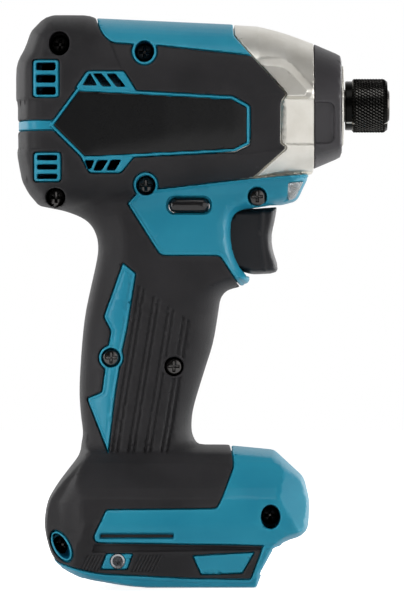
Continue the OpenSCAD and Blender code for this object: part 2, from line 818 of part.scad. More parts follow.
// Left shell, with blind holes for the screws
module left_housing() {
    color(TEAL) difference() {
        mirror([0, 1, 0]) housing_half();
        screw_holes();
    }
}

// Right half of the soft grip
module grip_half() {
    intersection() {
        difference() {
            body_form(0);
            body_form(skin);
            hard_regions();
            right_prism(case_points(case_seam));
            case_form(seat_gap);
            trigger_opening();
            lever_opening();
        }
        right_half();
    }
}

module right_grip() {
    color(CHARCOAL) grip_half();
}

module left_grip() {
    color(CHARCOAL) mirror([0, 1, 0]) grip_half();
}

// Plate in the recess on the right side
module right_plate() {
    color(BLACK) on_flat(plate_t) linear_extrude(plate_t) polygon(plate_shape(plate_border));
}

module left_plate() {
    mirror([0, 1, 0]) right_plate();
}

// Cast case round the hammer, with the nose that carries the anvil's bush
module hammer_case() {
    g = seat_gap;
    color(SILVER) difference() {
        union() {
            case_form(0);
            sleeve_ring(s_nose, nose_l, 0, nose_d / 2);
        }
        sleeve_ring(s_spindle_bearing - 1, s_seat - 3 - s_spindle_bearing + 1, 0, ring_od_r + g);
        sleeve_ring(s_spindle_bearing, s_seat + free_gap - s_spindle_bearing, 0, carrier_plate_r + free_gap);
        sleeve_ring(s_spindle_bearing, s_nose - s_spindle_bearing, 0, case_bore_r);
        sleeve_ring(s_nose - 1, nose_l + 2, 0, bush_d / 2 + g / 4);
    }
}

// Rubber ring on the nose of the case
module case_bumper() {
    color(BLACK) turned([
        [nose_d / 2 + seat_gap, s_bumper + seat_gap], [bumper_d / 2, s_bumper + seat_gap],
        [bumper_front_d / 2 + 0.9, s_bumper_end - 1.2], [bumper_front_d / 2, s_bumper_end],
        [bush_d / 2 + 1.5, s_bumper_end], [bush_d / 2 + 1.5, s_nose_end + seat_gap],
        [nose_d / 2 + seat_gap, s_nose_end + seat_gap]
    ]);
}

// Box that carries the motor's front bearing and the spindle's bearing
module bearing_box() {
    g = seat_gap / 4;
    rim_r = carrier_plate_r + 1;
    hub_r = front_bearing_d / 2 + 3;
    hole_r = shaft_d / 2 + 2;
    stop_r = front_bearing_d / 2 - 1.5;
    motor_seat_r = front_bearing_d / 2 + g;
    seat_r = spindle_bearing_d / 2 + g;
    flange_r = spindle_bearing_d / 2 + 3;
    s_flange = s_spindle_bearing - 1.6;
    s_step = s_spindle_bearing + 1;
    s_rim = s_spindle_bearing + spindle_bearing_w;
    s_face = s_planet - 0.3;
    s_stop = s_front_bearing + front_bearing_w + g;
    groove = 2 * o_ring_r + 0.7;
    color(STEEL) difference() {
        turned([
            [hole_r, s_box], [hub_r, s_box], [hub_r, s_flange], [flange_r, s_flange], [flange_r, s_step],
            [ring_od_r, s_step], [ring_od_r, s_face], [rim_r, s_face], [rim_r, s_rim], [seat_r, s_rim],
            [seat_r, s_spindle_bearing - g], [stop_r, s_spindle_bearing - g], [stop_r, s_stop],
            [motor_seat_r, s_stop], [motor_seat_r, s_front_bearing - g], [hole_r, s_front_bearing - g]
        ]);
        sleeve_ring(s_o_ring - groove / 2, groove, ring_od_r - 2 * o_ring_r - 0.1, ring_od_r + 1);
    }
}

module case_o_ring() {
    color(BLACK) across(s_o_ring) rotate_extrude() translate([ring_od_r - o_ring_r - 0.05, 0])
        circle(r = o_ring_r, $fn = 24);
}

// Fixed ring gear
module ring_gear() {
    color(STEEL) across(s_planet - 0.2) difference() {
        cylinder(h = gear_w + 0.2, r = ring_od_r);
        translate([0, 0, -1]) linear_extrude(gear_w + 3)
            gear_outline(ring_teeth, gear_module * (ring_teeth / 2 - addendum), ring_root_r, -backlash);
    }
}

module anvil_bush() {
    color(BRASS) sleeve_ring(s_nose + 0.1, nose_l - 1, anvil_d / 2 + run_gap, bush_d / 2);
}

// Ball bearing with its two races in one solid
module ball_bearing(s, w, bore, od) {
    race = (od - bore) / 2 * 0.35;
    shield = 0.6;
    inner = bore / 2 + race;
    outer = od / 2 - race;
    turned([
        [bore / 2, s], [inner, s], [inner, s + shield], [outer, s + shield], [outer, s], [od / 2, s],
        [od / 2, s + w], [outer, s + w], [outer, s + w - shield], [inner, s + w - shield], [inner, s + w],
        [bore / 2, s + w]
    ]);
}

module rear_bearing() {
    color(STEEL) ball_bearing(s_rear_bearing + 0.1, rear_bearing_w, shaft_d + 2 * run_gap, rear_bearing_d);
}

module front_bearing() {
    color(STEEL) ball_bearing(s_front_bearing, front_bearing_w, shaft_d + 2 * run_gap, front_bearing_d);
}

module spindle_bearing() {
    bore = 2 * (journal_r + run_gap);
    color(STEEL) ball_bearing(s_spindle_bearing, spindle_bearing_w, bore, spindle_bearing_d);
}

// Stator stack with six poles
module stator_core() {
    bore_r = rotor_d / 2 + 0.6;
    slot_r = stator_d / 2 - 3.5;
    color(STEEL) across(s_core) linear_extrude(stator_l) {
        difference() {
            circle(d = stator_d, $fn = 96);
            circle(r = slot_r, $fn = 96);
        }
        for (k = [0 : 5]) rotate(60 * k) difference() {
            union() {
                translate([bore_r + 1, -2.6]) square([slot_r - bore_r - 0.5, 5.2]);
                intersection() {
                    difference() {
                        circle(r = bore_r + 2);
                        circle(r = bore_r);
                    }
                    polygon([[0, 0], [20, -8.6], [20, 8.6]]);
                }
            }
            circle(r = bore_r);
        }
    }
}

// Winding round each pole
module stator_coils() {
    pole_r = rotor_d / 2 + 3;
    l = stator_l + 2 * coil_overhang;
    reach = fan_d / 2 - pole_r;
    color(COPPER) across(s_coil) for (k = [0 : 5]) rotate(60 * k) difference() {
        translate([pole_r, -4.3, 0]) cube([reach, 8.6, l]);
        translate([pole_r - 1, -2.7, coil_overhang - 0.2]) cube([reach + 2, 5.4, stator_l + 0.4]);
    }
}

module sensor_board() {
    color(GREEN) sleeve_ring(s_board, board_t, shaft_d / 2 + 3, fan_d / 2 - 1.4);
}

// Rotor stack with slots for four magnets
module rotor_core() {
    color(STEEL) across(s_core) difference() {
        cylinder(h = stator_l, d = rotor_d);
        translate([0, 0, -1]) cylinder(h = stator_l + 2, d = shaft_d + 0.02);
        for (k = [0 : 3]) rotate(90 * k + 45)
            translate([rotor_d / 2 - 4.1, -5.1, -1]) cube([2.2, 10.2, stator_l + 2]);
    }
}

module rotor_magnets() {
    color(SILVER) across(s_core) for (k = [0 : 3]) rotate(90 * k + 45)
        translate([rotor_d / 2 - 4, -5, 0.3]) cube([2, 10, stator_l - 0.6]);
}

// Motor shaft with the sun pinion on its front end
module rotor_shaft() {
    s_pinion = s_spindle_bearing - 0.4;
    color(STEEL) {
        across(s_rear_bearing + 0.4) cylinder(h = s_pinion - s_rear_bearing, d = shaft_d);
        across(s_pinion) linear_extrude(s_planet + gear_w - s_pinion)
            gear_outline(sun_teeth, gear_module * (sun_teeth / 2 - dedendum), sun_tip_r, backlash);
    }
}

// Radial fan on the back of the rotor
module fan() {
    color(BLACK) across(s_fan) difference() {
        union() {
            cylinder(h = fan_w, d = shaft_d + 6);
            translate([0, 0, fan_w - 1.4]) cylinder(h = 1.4, d = fan_d);
            for (k = [0 : fan_blades - 1]) rotate(360 * k / fan_blades)
                translate([fan_d / 2 - 9, -0.6, 0]) cube([8.8, 1.2, fan_w]);
        }
        translate([0, 0, -1]) cylinder(h = fan_w + 2, d = shaft_d + 0.02);
    }
}

// Places of the planets round the sun
function planet_angle(n) = 120 * (n - 1);

// Spindle: carrier for the planets, and the shaft with the ball grooves
module spindle() {
    shaft_r = spindle_d / 2;
    bore_r = spindle_bore_r;
    color(STEEL) difference() {
        union() {
            turned([
                [bore_r, s_spindle_bearing + 0.1], [journal_r, s_spindle_bearing + 0.1], [journal_r, s_carrier],
                [carrier_plate_r, s_carrier], [carrier_plate_r, s_carrier + carrier_t],
                [bore_r, s_carrier + carrier_t]
            ]);
            turned([
                [0, s_carrier_front], [carrier_plate_r, s_carrier_front], [carrier_plate_r, s_seat],
                [shaft_r, s_seat], [shaft_r, s_wing - 0.5], [pilot_d / 2, s_wing - 0.5],
                [pilot_d / 2, s_wing + pilot_l], [0, s_wing + pilot_l]
            ]);
            for (n = [1 : 3]) across(s_carrier) rotate(planet_angle(n) + 60)
                translate([carrier_r + 2, 0, 0]) cylinder(h = s_seat - s_carrier, r = 2.6);
        }
        for (n = [1 : 3]) across(s_carrier - 1) rotate(planet_angle(n))
            translate([carrier_r, 0, 0]) cylinder(h = s_seat - s_carrier + 0.6, d = planet_pin_d + 0.02);
        for (k = [0, 1]) across(s_cam_ball) rotate(180 * k + 90) translate([cam_ring_r, 0, 0]) {
            sphere(r = cam_ball_r + 0.06);
            for (lean = [-cam_lean, cam_lean]) rotate([180 + lean, 0, 0]) cylinder(h = 9, r = cam_ball_r);
        }
    }
}

module planet_gear(n) {
    color(STEEL) across(s_planet) rotate(planet_angle(n)) translate([carrier_r, 0, 0]) difference() {
        linear_extrude(gear_w)
            gear_outline(planet_teeth, gear_module * (planet_teeth / 2 - dedendum), planet_tip_r, backlash);
        translate([0, 0, -1]) cylinder(h = gear_w + 2, d = planet_pin_d + 2 * run_gap);
    }
}

module planet_gear_1() {
    planet_gear(1);
}

module planet_gear_2() {
    planet_gear(2);
}

module planet_gear_3() {
    planet_gear(3);
}

module planet_pins() {
    color(STEEL) for (n = [1 : 3]) across(s_carrier) rotate(planet_angle(n)) translate([carrier_r, 0, 0])
        cylinder(h = s_seat - s_carrier - 0.5, d = planet_pin_d);
}

module cam_balls() {
    color(STEEL) for (k = [0, 1]) across(s_cam_ball) rotate(180 * k + 90)
        translate([cam_ring_r, 0, 0]) sphere(r = cam_ball_r);
}

// Hammer with two lugs, hollow at the back for its spring
module hammer() {
    bore_r = spindle_d / 2 + 0.15;
    r = hammer_d / 2;
    color(STEEL) difference() {
        union() {
            turned([
                [bore_r, s_hammer], [hammer_hub_r, s_hammer], [hammer_hub_r, s_hammer_floor],
                [hammer_cavity_r, s_hammer_floor], [hammer_cavity_r, s_hammer], [r, s_hammer],
                [r, s_hammer_face], [cam_bore_r, s_hammer_face], [cam_bore_r, s_cam_ball], [bore_r, s_cam_ball]
            ]);
            for (k = [0, 1]) across(s_hammer_face - 0.5) rotate(lug_start + 180 * k) lug(lug_l + 0.5);
        }
        for (k = [0, 1]) across(s_cam_ball) rotate(180 * k + 90)
            translate([cam_ring_r, 0, 0]) {
                sphere(r = cam_ball_r + 0.2);
                for (lean = [-cam_lean, cam_lean]) rotate([lean, 0, 0])
                    cylinder(h = hammer_retreat, r = cam_ball_r + 0.2);
            }
    }
}

// One lug: a sector of a ring
module lug(l) {
    r = hammer_d / 2 - 0.6;
    reach = 2 * hammer_d;
    intersection() {
        difference() {
            cylinder(h = l, r = r);
            translate([0, 0, -1]) cylinder(h = l + 2, r = lug_inner_r);
        }
        linear_extrude(l) polygon(concat([[0, 0]], arc([0, 0], reach, 0, lug_sweep, 2)));
    }
}

module hammer_spring() {
    r = spring_wire / 2;
    s0 = s_seat + r + 0.15;
    s1 = s_washer - r - 0.15;
    echo(hammer_spring_gap = coil_gap(s0, s1, spring_turns, spring_wire));
    color(STEEL) on_head() tube(coil_path(s0, s1, spring_r, spring_turns), r, [1, 0, 0]);
}

module spring_washer() {
    color(STEEL) sleeve_ring(s_washer, washer_t, hammer_hub_r + 0.3, hammer_cavity_r - 0.3);
}

module thrust_balls() {
    count = 12;
    color(STEEL) for (k = [0 : count - 1]) across(s_thrust) rotate(360 * k / count)
        translate([(hammer_hub_r + hammer_cavity_r) / 2, 0, 0]) sphere(d = thrust_ball_d, $fn = 24);
}

// Anvil: wings that the hammer strikes, and the bit socket
module anvil() {
    tip = overall_l;
    pilot = pilot_d / 2 + run_gap;
    groove = 2 * ring_wire_r + 0.1;
    color(STEEL) difference() {
        union() {
            turned([
                [0, s_wing], [anvil_d / 2 + 2.2, s_wing], [anvil_d / 2 + 2.2, s_wing + wing_t],
                [anvil_d / 2, s_wing + wing_t], [anvil_d / 2, s_sleeve - 0.4], [socket_d / 2, s_sleeve - 0.4],
                [socket_d / 2, tip - 0.6], [socket_d / 2 - 0.6, tip], [0, tip]
            ]);
            across(s_wing) intersection() {
                cylinder(h = wing_t, r = wing_r);
                translate([-30, -wing_w / 2, 0]) cube([60, wing_w, wing_t]);
            }
        }
        across(s_wing - 1) cylinder(h = pilot_l + 1.6, r = pilot);
        across(tip - socket_depth) cylinder(h = socket_depth + 1, d = hex_af / cos(30), $fn = 6);
        for (side = [0, 180]) across(s_bit_ball) rotate([0, 90, side])
            cylinder(h = socket_d, r = bit_ball_r + 0.05);
        sleeve_ring(s_retaining - groove / 2, groove, retaining_r - groove / 2, socket_d);
    }
}

// Ball that holds the bit, above or below the axis
module bit_ball(side) {
    color(STEEL) on_head() translate([s_bit_ball, 0, side * bit_ball_ring]) sphere(r = bit_ball_r);
}

module bit_ball_top() {
    bit_ball(1);
}

module bit_ball_bottom() {
    bit_ball(-1);
}

// Knurled sleeve that frees the bit when it is pulled forward
module sleeve() {
    r = sleeve_d / 2;
    color(BLACK) turned([
        [sleeve_recess_r, s_sleeve], [r - 0.9, s_sleeve], [r - 0.7, s_sleeve + 2.2], [r, s_sleeve + 2.9],
        [r, s_sleeve_end - 0.8], [r - 0.8, s_sleeve_end], [sleeve_cavity_r, s_sleeve_end],
        [sleeve_cavity_r, s_land + land_l], [land_r, s_land + land_l], [land_r, s_land + 0.7],
        [sleeve_recess_r, s_land]
    ]);
}

module sleeve_spring() {
    r = sleeve_wire / 2;
    turns = 3;
    s0 = s_land + land_l + r + 0.1;
    s1 = s_sleeve_washer - r - 0.1;
    echo(sleeve_spring_gap = coil_gap(s0, s1, turns, sleeve_wire));
    color(STEEL) on_head() tube(coil_path(s0, s1, socket_d / 2 + 0.9, turns), r, [1, 0, 0]);
}

module sleeve_washer() {
    color(STEEL) sleeve_ring(s_sleeve_washer, sleeve_washer_t, socket_d / 2 + 0.1, sleeve_cavity_r - 0.3);
}

module retaining_ring() {
    color(STEEL) across(s_retaining) rotate_extrude() translate([retaining_r, 0])
        circle(r = ring_wire_r, $fn = 24);
}

// Trigger with a hollow finger face, open at the back
module trigger() {
    half = trigger_w / 2;
    x0 = x_trigger_back;
    xf = x_grip + 43;
    top = z_trigger;
    low = z_trigger - trigger_h;
    front = arc([xf + 21.6, top - 9], 23.4, 157, 200, 10);
    color(BLACK) difference() {
        translate([0, half, 0]) rotate([90, 0, 0]) linear_extrude(trigger_w) polygon(concat(
            [[x0, top - 2], [xf - 12, top - 2], [xf - 10, top]], front,
            arc([xf - 0.6, low + 2.2], 2.2, 0, -90, 4), [[xf - 9, low], [x0, low + 2.6]]
        ));
        translate([x0 - 1, -half + 2, low + 3.6]) cube([spring_pocket + 1, trigger_w - 4, trigger_h - 8]);
    }
}

// Rod from the trigger into the switch
module trigger_plunger() {
    reach = trigger_travel + 4;
    color(BLACK) translate([x_switch - reach, 0, z_plunger]) rotate([0, 90, 0])
        cylinder(h = x_trigger_back + spring_pocket - seat_gap - x_switch + reach, d = plunger_d);
}

module trigger_spring() {
    r = 0.4;
    turns = 5;
    s0 = x_switch + r + 0.2;
    s1 = x_trigger_back + spring_pocket - 0.2 - r;
    echo(trigger_spring_gap = coil_gap(s0, s1, turns, 2 * r));
    color(STEEL) translate([0, 0, z_plunger])
        tube(coil_path(s0, s1, plunger_d / 2 + 1.2, turns), r, [1, 0, 0]);
}

// Switch behind the trigger
module switch_body() {
    hole_d = plunger_d + 2 * free_gap;
    color(BLACK) difference() {
        translate([x_switch - switch_l, -switch_w / 2, z_switch]) cube([switch_l, switch_w, switch_h]);
        translate([x_switch - switch_l + 3, 0, z_plunger]) rotate([0, 90, 0])
            cylinder(h = switch_l, d = hole_d);
    }
}

// Lever across the housing that sets the direction of turning
module direction_lever() {
    end_r = lever_h / 2;
    color(BLACK) translate([lever_pos[0], lever_span / 2, lever_pos[1]]) rotate([90, 0, 0])
        linear_extrude(lever_span) {
            square([lever_l - lever_h, lever_h], center = true);
            for (side = [-1, 1]) translate([side * (lever_l / 2 - end_r), 0]) circle(r = end_r);
        }
}

// Children placed at the lamp lens on each side of the chin
module at_lenses() {
    for (side = [0, 1]) mirror([0, side, 0])
        translate([x_led, -grip_w / 2 + lens_in, head_bottom + lens_low]) children();
}

// Space of the two lamp lenses at the front corners of the chin, grown by gap
module lens_space(gap) {
    at_lenses() translate([-gap, -10, -gap]) cube([20, 10 + lens_w + gap, lens_h + 2 * gap]);
}

module led_lenses() {
    z0 = head_bottom + lens_low;
    plan = [for (q = grip_ring(z0, -25, x_chin - x_grip - 3.4, 0.4, 5, 0.2)) [q[0], q[1]]];
    color(CLEAR) intersection() {
        lens_space(0);
        translate([0, 0, z0 - 1]) linear_extrude(lens_h + 2) polygon(plan);
    }
}

// Block of the lamp board behind the lenses, grown by gap
module led_board_block(gap) {
    size = [led_board_t, led_board_w, lens_h - 0.6];
    low = [x_led - seat_gap - led_board_t, -led_board_w / 2, head_bottom + lens_low + 0.3];
    translate(low - gap * [1, 1, 1]) cube(size + 2 * gap * [1, 1, 1]);
}

module led_board() {
    color(GREEN) led_board_block(0);
}

// Motor controller, potted in a tray in the foot
module control_board() {
    color(BLACK) translate([x_foot_back + 18, -board_size[1] / 2, slide_h + ceiling_t + seat_gap])
        cube(board_size);
}

// Way for the leads from the motor down into the grip
module lead_passage() {
    half = [lead_r + 0.5, (lead_count - 1) / 2 * lead_pitch + lead_r + 0.5];
    low = head_bottom + 8;
    translate([x_lead - half[0], -half[1], low]) cube([2 * half[0], 2 * half[1], axis_z - fan_d / 2 - low]);
}

// Leads from the motor down the grip to the controller
module motor_leads() {
    top = axis_z - fan_d / 2 - 0.2;
    low = slide_h + ceiling_t + board_size[2] + 2 * seat_gap;
    color(BLACK) for (k = [0 : lead_count - 1]) let (y = (k - (lead_count - 1) / 2) * lead_pitch) tube([
        [x_lead, y, top], [x_lead, y, head_bottom + 3], [x_grip - 10.2, y, head_bottom - 4],
        [x_grip - 10.5, y, head_bottom - 22], [x_grip - 4, y, foot_h + 40], [x_grip - 2, y, foot_h + 28],
        [x_grip - 2, y, foot_h + 8], [x_grip - 2, y, low]
    ], lead_r, [0, 1, 0], 8);
}

// Block that carries the battery terminals, through the ceiling of the slide
module terminal_block() {
    low = blade_top - blade_h - 3.1;
    color(BLACK) difference() {
        translate([x_terminal, -terminal_w / 2, low])
            cube([terminal_l, terminal_w, slide_h + ceiling_t - low]);
        for (y = blade_places) translate([x_terminal + blade_back - seat_gap, y - blade_t / 2 - 0.2, low - 1])
            cube([terminal_l, blade_t + 0.4, blade_top + seat_gap - low + 1]);
    }
}

module terminal_blades() {
    color(BRASS) for (y = blade_places)
        translate([x_terminal + blade_back, y - blade_t / 2, blade_top - blade_h])
            cube([terminal_l - blade_back - 1, blade_t, blade_h]);
}

// Children on the axis of the right hook fixing, pointing out of the foot
module at_hook(y) {
    translate([x_foot_back + hook_place[0], -y, hook_place[1]]) rotate([90, 0, 0]) children();
}

// Hole for the threaded insert of the belt hook
module hook_insert_space() {
    at_hook(slide_w / 2 + insert_wall) cylinder(h = side_reach, d = insert_od + 2 * seat_gap);
}

// Steel inserts with the threads for the belt hook, one on each side
module hook_inserts() {
    l = foot_w / 2 - slide_w / 2 - 2 * insert_wall;
    y = slide_w / 2 + insert_wall + seat_gap;
    color(STEEL) for (side = [0, 1]) mirror([0, side, 0]) at_hook(y) difference() {
        cylinder(h = l, d = insert_od);
        translate([0, 0, -1]) cylinder(h = l + 2, d = insert_d - 0.7);
    }
}

// Cross recess in a screw's head
module cross_recess(w, t, h) {
    for (a = [0, 90]) rotate(a) translate([-w / 2, -t / 2, 0]) cube([w, t, h]);
}

module housing_screws() {
    color(BLACK) for (p = screw_places) translate([p[0], 0, p[1]]) rotate([90, 0, 0]) difference() {
        union() {
            translate([0, 0, p[2] - screw_l]) cylinder(h = screw_l + 0.5, d = screw_d);
            translate([0, 0, p[2] + 0.05]) cylinder(h = screw_head_h, d = screw_head_d);
        }
        translate([0, 0, p[2] + screw_head_h - 1.4]) cross_recess(screw_head_d * 0.62, 1, 2);
    }
}

right_housing();
left_housing();
right_grip();
left_grip();
right_plate();
left_plate();
hammer_case();
case_bumper();
bearing_box();
ring_gear();
case_o_ring();
anvil_bush();
stator_core();
stator_coils();
sensor_board();
rear_bearing();
front_bearing();
spindle_bearing();
rotor_core();
rotor_magnets();
rotor_shaft();
fan();
spindle();
planet_gear_1();
planet_gear_2();
planet_gear_3();
planet_pins();
cam_balls();
hammer();
hammer_spring();
spring_washer();
thrust_balls();
anvil();
bit_ball_top();
bit_ball_bottom();
sleeve();
sleeve_spring();
sleeve_washer();
retaining_ring();
trigger();
trigger_plunger();
trigger_spring();
switch_body();
direction_lever();
led_lenses();
led_board();
control_board();
motor_leads();
terminal_block();
terminal_blades();
hook_inserts();
housing_screws();
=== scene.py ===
"""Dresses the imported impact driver: shells, grip, case, trigger, sleeve, springs and finishes."""
import functools
import json
import math

import bpy
import numpy as np
import openvdb
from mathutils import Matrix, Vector


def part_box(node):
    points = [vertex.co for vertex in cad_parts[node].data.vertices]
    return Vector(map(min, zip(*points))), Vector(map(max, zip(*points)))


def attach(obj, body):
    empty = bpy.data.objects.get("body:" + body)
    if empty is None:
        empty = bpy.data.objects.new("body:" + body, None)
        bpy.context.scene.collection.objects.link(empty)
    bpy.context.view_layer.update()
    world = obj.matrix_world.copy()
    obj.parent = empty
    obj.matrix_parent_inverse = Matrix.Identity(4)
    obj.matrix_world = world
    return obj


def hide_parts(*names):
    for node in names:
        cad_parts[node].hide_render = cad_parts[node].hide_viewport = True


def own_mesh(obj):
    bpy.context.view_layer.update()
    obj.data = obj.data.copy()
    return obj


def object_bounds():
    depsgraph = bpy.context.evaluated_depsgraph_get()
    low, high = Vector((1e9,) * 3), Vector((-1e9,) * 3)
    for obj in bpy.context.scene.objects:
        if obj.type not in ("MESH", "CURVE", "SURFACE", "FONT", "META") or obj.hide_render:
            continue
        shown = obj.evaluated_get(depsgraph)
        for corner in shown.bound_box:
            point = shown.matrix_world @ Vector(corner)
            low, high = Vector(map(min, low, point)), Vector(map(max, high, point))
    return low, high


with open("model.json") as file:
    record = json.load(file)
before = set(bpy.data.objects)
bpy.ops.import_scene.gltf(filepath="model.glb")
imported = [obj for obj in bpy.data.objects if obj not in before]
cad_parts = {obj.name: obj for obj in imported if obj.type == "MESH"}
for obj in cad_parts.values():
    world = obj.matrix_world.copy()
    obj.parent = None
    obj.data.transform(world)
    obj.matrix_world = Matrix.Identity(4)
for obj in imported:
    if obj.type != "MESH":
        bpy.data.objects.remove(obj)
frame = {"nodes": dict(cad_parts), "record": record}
cad_low, cad_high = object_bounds()
nodes = frame["nodes"]
scene = bpy.context.scene
MM = 0.001

# Main sizes in millimetres, from the frame
X_REAR = cad_low[0] / MM
AXIS_Z = next(m for m in frame["record"]["mounts"] if m["name"] == "bit_socket")["pos_m"][2] / MM
HEAD_BOTTOM = AXIS_Z - 36.2
X_GRIP = X_REAR + 45
X_FOOT = X_GRIP - 35.6
FOOT_HALF = -cad_low[1] / MM

# Thickness of the soft grip and the shells' walls, the gap between the two, and play elsewhere
SKIN = 1.8
WALL = 3.4
SEAM = 0.16
PLAY = 0.1

# Meshes from grids: steps, merging of flat areas, and how alike normals are off a sharp edge
VOXEL = 0.4
FINE_VOXEL = 0.3
ADAPTIVITY = 0.35
SHARP = 0.82

# Reach of a field and step of its slopes, in grid steps, and pull of corners into a face
FIELD_REACH = 3
SLOPE_STEP = 0.7
CORNER_PULL = 0.4

# Camera at the photograph's viewing angle, level with the middle of the grip
CAMERA_AWAY = 2.5
CAMERA_X = -0.0002
CAMERA_Z = 0.0966
CAMERA_FAR = 20
FRAME_HEIGHT = 0.2027
SENSOR = 36


def make_camera():
    data = bpy.data.cameras.new("camera")
    data.sensor_width = SENSOR
    data.sensor_fit = "AUTO"
    data.lens = SENSOR * CAMERA_AWAY / FRAME_HEIGHT
    data.clip_end = CAMERA_FAR
    camera = bpy.data.objects.new("camera", data)
    camera.location = (CAMERA_X, -CAMERA_AWAY, CAMERA_Z)
    camera.rotation_euler = (math.radians(90), 0, 0)
    scene.collection.objects.link(camera)
    scene.camera = camera


make_camera()


# Node trees of materials and of the world
class Nodes:
    def __init__(self, owner):
        owner.use_nodes = True
        self.tree = owner.node_tree

    def fill(self, node, inputs):
        """Sets sockets from numbers, colours or other nodes."""
        for name, value in inputs.items():
            if isinstance(value, bpy.types.NodeSocket):
                self.tree.links.new(value, node.inputs[name])
            else:
                node.inputs[name].default_value = (*value, 1) if isinstance(value, tuple) else value

    def shade(self, inputs):
        self.fill(self.tree.nodes["Principled BSDF"], inputs)

    def add(self, kind, inputs, **settings):
        """Outputs of a new node."""
        node = self.tree.nodes.new("ShaderNode" + kind)
        for key, value in settings.items():
            setattr(node, key, value)
        self.fill(node, inputs)
        return node.outputs

    def noise(self, per_mm, detail, roughness=0.5):
        inputs = {"Scale": per_mm / MM, "Detail": detail, "Roughness": roughness}
        return self.add("TexNoise", {"Vector": self.add("TexCoord", {})["Object"], **inputs})["Fac"]

    def edge(self):
        return self.add("NewGeometry", {})["Pointiness"]

    def span(self, value, low, high, out_low, out_high, kind="LINEAR"):
        """Change from one amount to another while a value goes from low to high."""
        names = ("Value", "From Min", "From Max", "To Min", "To Max")
        inputs = dict(zip(names, (value, low, high, out_low, out_high)))
        return self.add("MapRange", inputs, interpolation_type=kind)["Result"]

    def sum(self, first, second):
        """Sum that stops at 1."""
        return self.add("Math", {0: first, 1: second}, use_clamp=True)[0]

    def mix(self, factor, first, second):
        inputs = {"Factor": factor, "A": first, "B": second}
        return self.add("Mix", inputs, data_type="RGBA")["Result"]

    def bump(self, height, depth_mm, strength):
        inputs = {"Height": height, "Distance": depth_mm * MM, "Strength": strength}
        return self.add("Bump", inputs)["Normal"]


def linear(values):
    """Scene-linear colour from 8-bit display values."""
    return tuple(((c / 255 + 0.055) / 1.055) ** 2.4 if c > 10 else c / 3294.6 for c in values)


# Noise per millimetre
DRIFT = 0.05
STAIN = 0.12
HAZE = 0.8

# Part of the noise, or of the edges' sharpness, over which each effect grows
DRIFT_SEEN = (0.35, 0.65)
STAIN_SEEN = (0.35, 0.7)
GRAIN_SEEN = (0.3, 0.7)
RUBBED_EDGE = (0.515, 0.56)
# Sharpness over which metal edges turn pale: partly wear, partly painted glints on the knurl's
# peaks
WEAR_AND_GLINT_EDGE = (0.53, 0.62)


def moulded(name, colour, wear_and_glint, grain_per_mm, grain_mm, roughness, specular=0.5):
    """Moulded plastic or rubber: grain, soft colour drift and edges rubbed paler."""
    material = bpy.data.materials.new(name)
    n = Nodes(material)
    colour, wear_and_glint = linear(colour), linear(wear_and_glint)
    drift = n.span(n.noise(DRIFT, 3), *DRIFT_SEEN, 0.0, 0.35)
    rubbed = n.span(n.edge(), *RUBBED_EDGE, 0.0, 0.45)
    grain = n.noise(grain_per_mm, 3, 0.6)
    n.shade({
        "Base Color": n.mix(rubbed, n.mix(drift, colour, wear_and_glint), wear_and_glint),
        "Roughness": n.span(grain, *GRAIN_SEEN, roughness - 0.07, roughness + 0.09),
        "Normal": n.bump(grain, grain_mm, 0.6),
        "Specular IOR Level": specular
    })
    return material


def metal(name, colour, dark, grain_per_mm, grain_mm, roughness, metallic=1.0, wear_and_glint=None):
    """Metal with grain, slight staining and, where given, sharp edges in a pale colour that stands
    partly for wear and partly for painted glints.
    """
    material = bpy.data.materials.new(name)
    n = Nodes(material)
    shade = n.mix(n.span(n.noise(STAIN, 4), *STAIN_SEEN, 0.0, 0.6), linear(colour), linear(dark))
    # Sharp edges painted pale: partly wear, partly painted glints
    if wear_and_glint:
        shade = n.mix(n.span(n.edge(), *WEAR_AND_GLINT_EDGE, 0, 1), shade, linear(wear_and_glint))
    grain = n.noise(grain_per_mm, 4, 0.65)
    n.shade({
        "Base Color": shade,
        "Roughness": n.span(grain, *GRAIN_SEEN, roughness - 0.06, roughness + 0.1),
        "Normal": n.bump(grain, grain_mm, 0.5),
        "Metallic": metallic
    })
    return material


def clear_plastic(name):
    """Lens plastic with a slight haze."""
    material = bpy.data.materials.new(name)
    n = Nodes(material)
    haze = n.noise(HAZE, 2)
    n.shade({
        "Base Color": n.mix(haze, (0.95, 0.97, 0.98), (0.86, 0.89, 0.9)),
        "Roughness": n.span(haze, *GRAIN_SEEN, 0.06, 0.2),
        "Transmission Weight": 0.75,
        "IOR": 1.49
    })
    return material


TEAL = moulded("teal plastic", (18, 141, 172), (48, 168, 196), 2.2, 0.03, 0.42, 0.4)
CHARCOAL = moulded("soft charcoal elastomer", (34, 33, 35), (60, 58, 60), 2.6, 0.09, 0.54, 0.24)
PLATE = moulded("glossy dark plate", (6, 6, 7), (13, 13, 15), 5.0, 0.002, 0.3, 0.34)
BUMPER = moulded("nose rubber", (48, 46, 49), (76, 73, 77), 2.4, 0.04, 0.46, 0.5)
BLACK = moulded("black trigger plastic", (24, 24, 27), (46, 46, 50), 2.4, 0.03, 0.44, 0.34)
GLOSS_BLACK = moulded("glossy black plastic", (16, 15, 16), (40, 38, 39), 1.5, 0.006, 0.2, 0.55)
CASE = metal("cast hammer case", (232, 229, 221), (206, 201, 190), 2.5, 0.04, 0.34, 0.7)
STEEL = metal("machined steel", (186, 187, 190), (140, 140, 142), 3.0, 0.01, 0.28)
DARK_STEEL = metal("black oxide steel", (84, 81, 78), (52, 50, 48), 3.0, 0.01, 0.3)
BRASS = metal("brass", (212, 178, 110), (166, 130, 72), 2.5, 0.01, 0.3)
BRONZE = metal("sintered bronze", (176, 142, 92), (120, 92, 58), 4.0, 0.03, 0.45)
COPPER = metal("enamelled copper", (190, 112, 66), (132, 70, 40), 3.0, 0.05, 0.35)
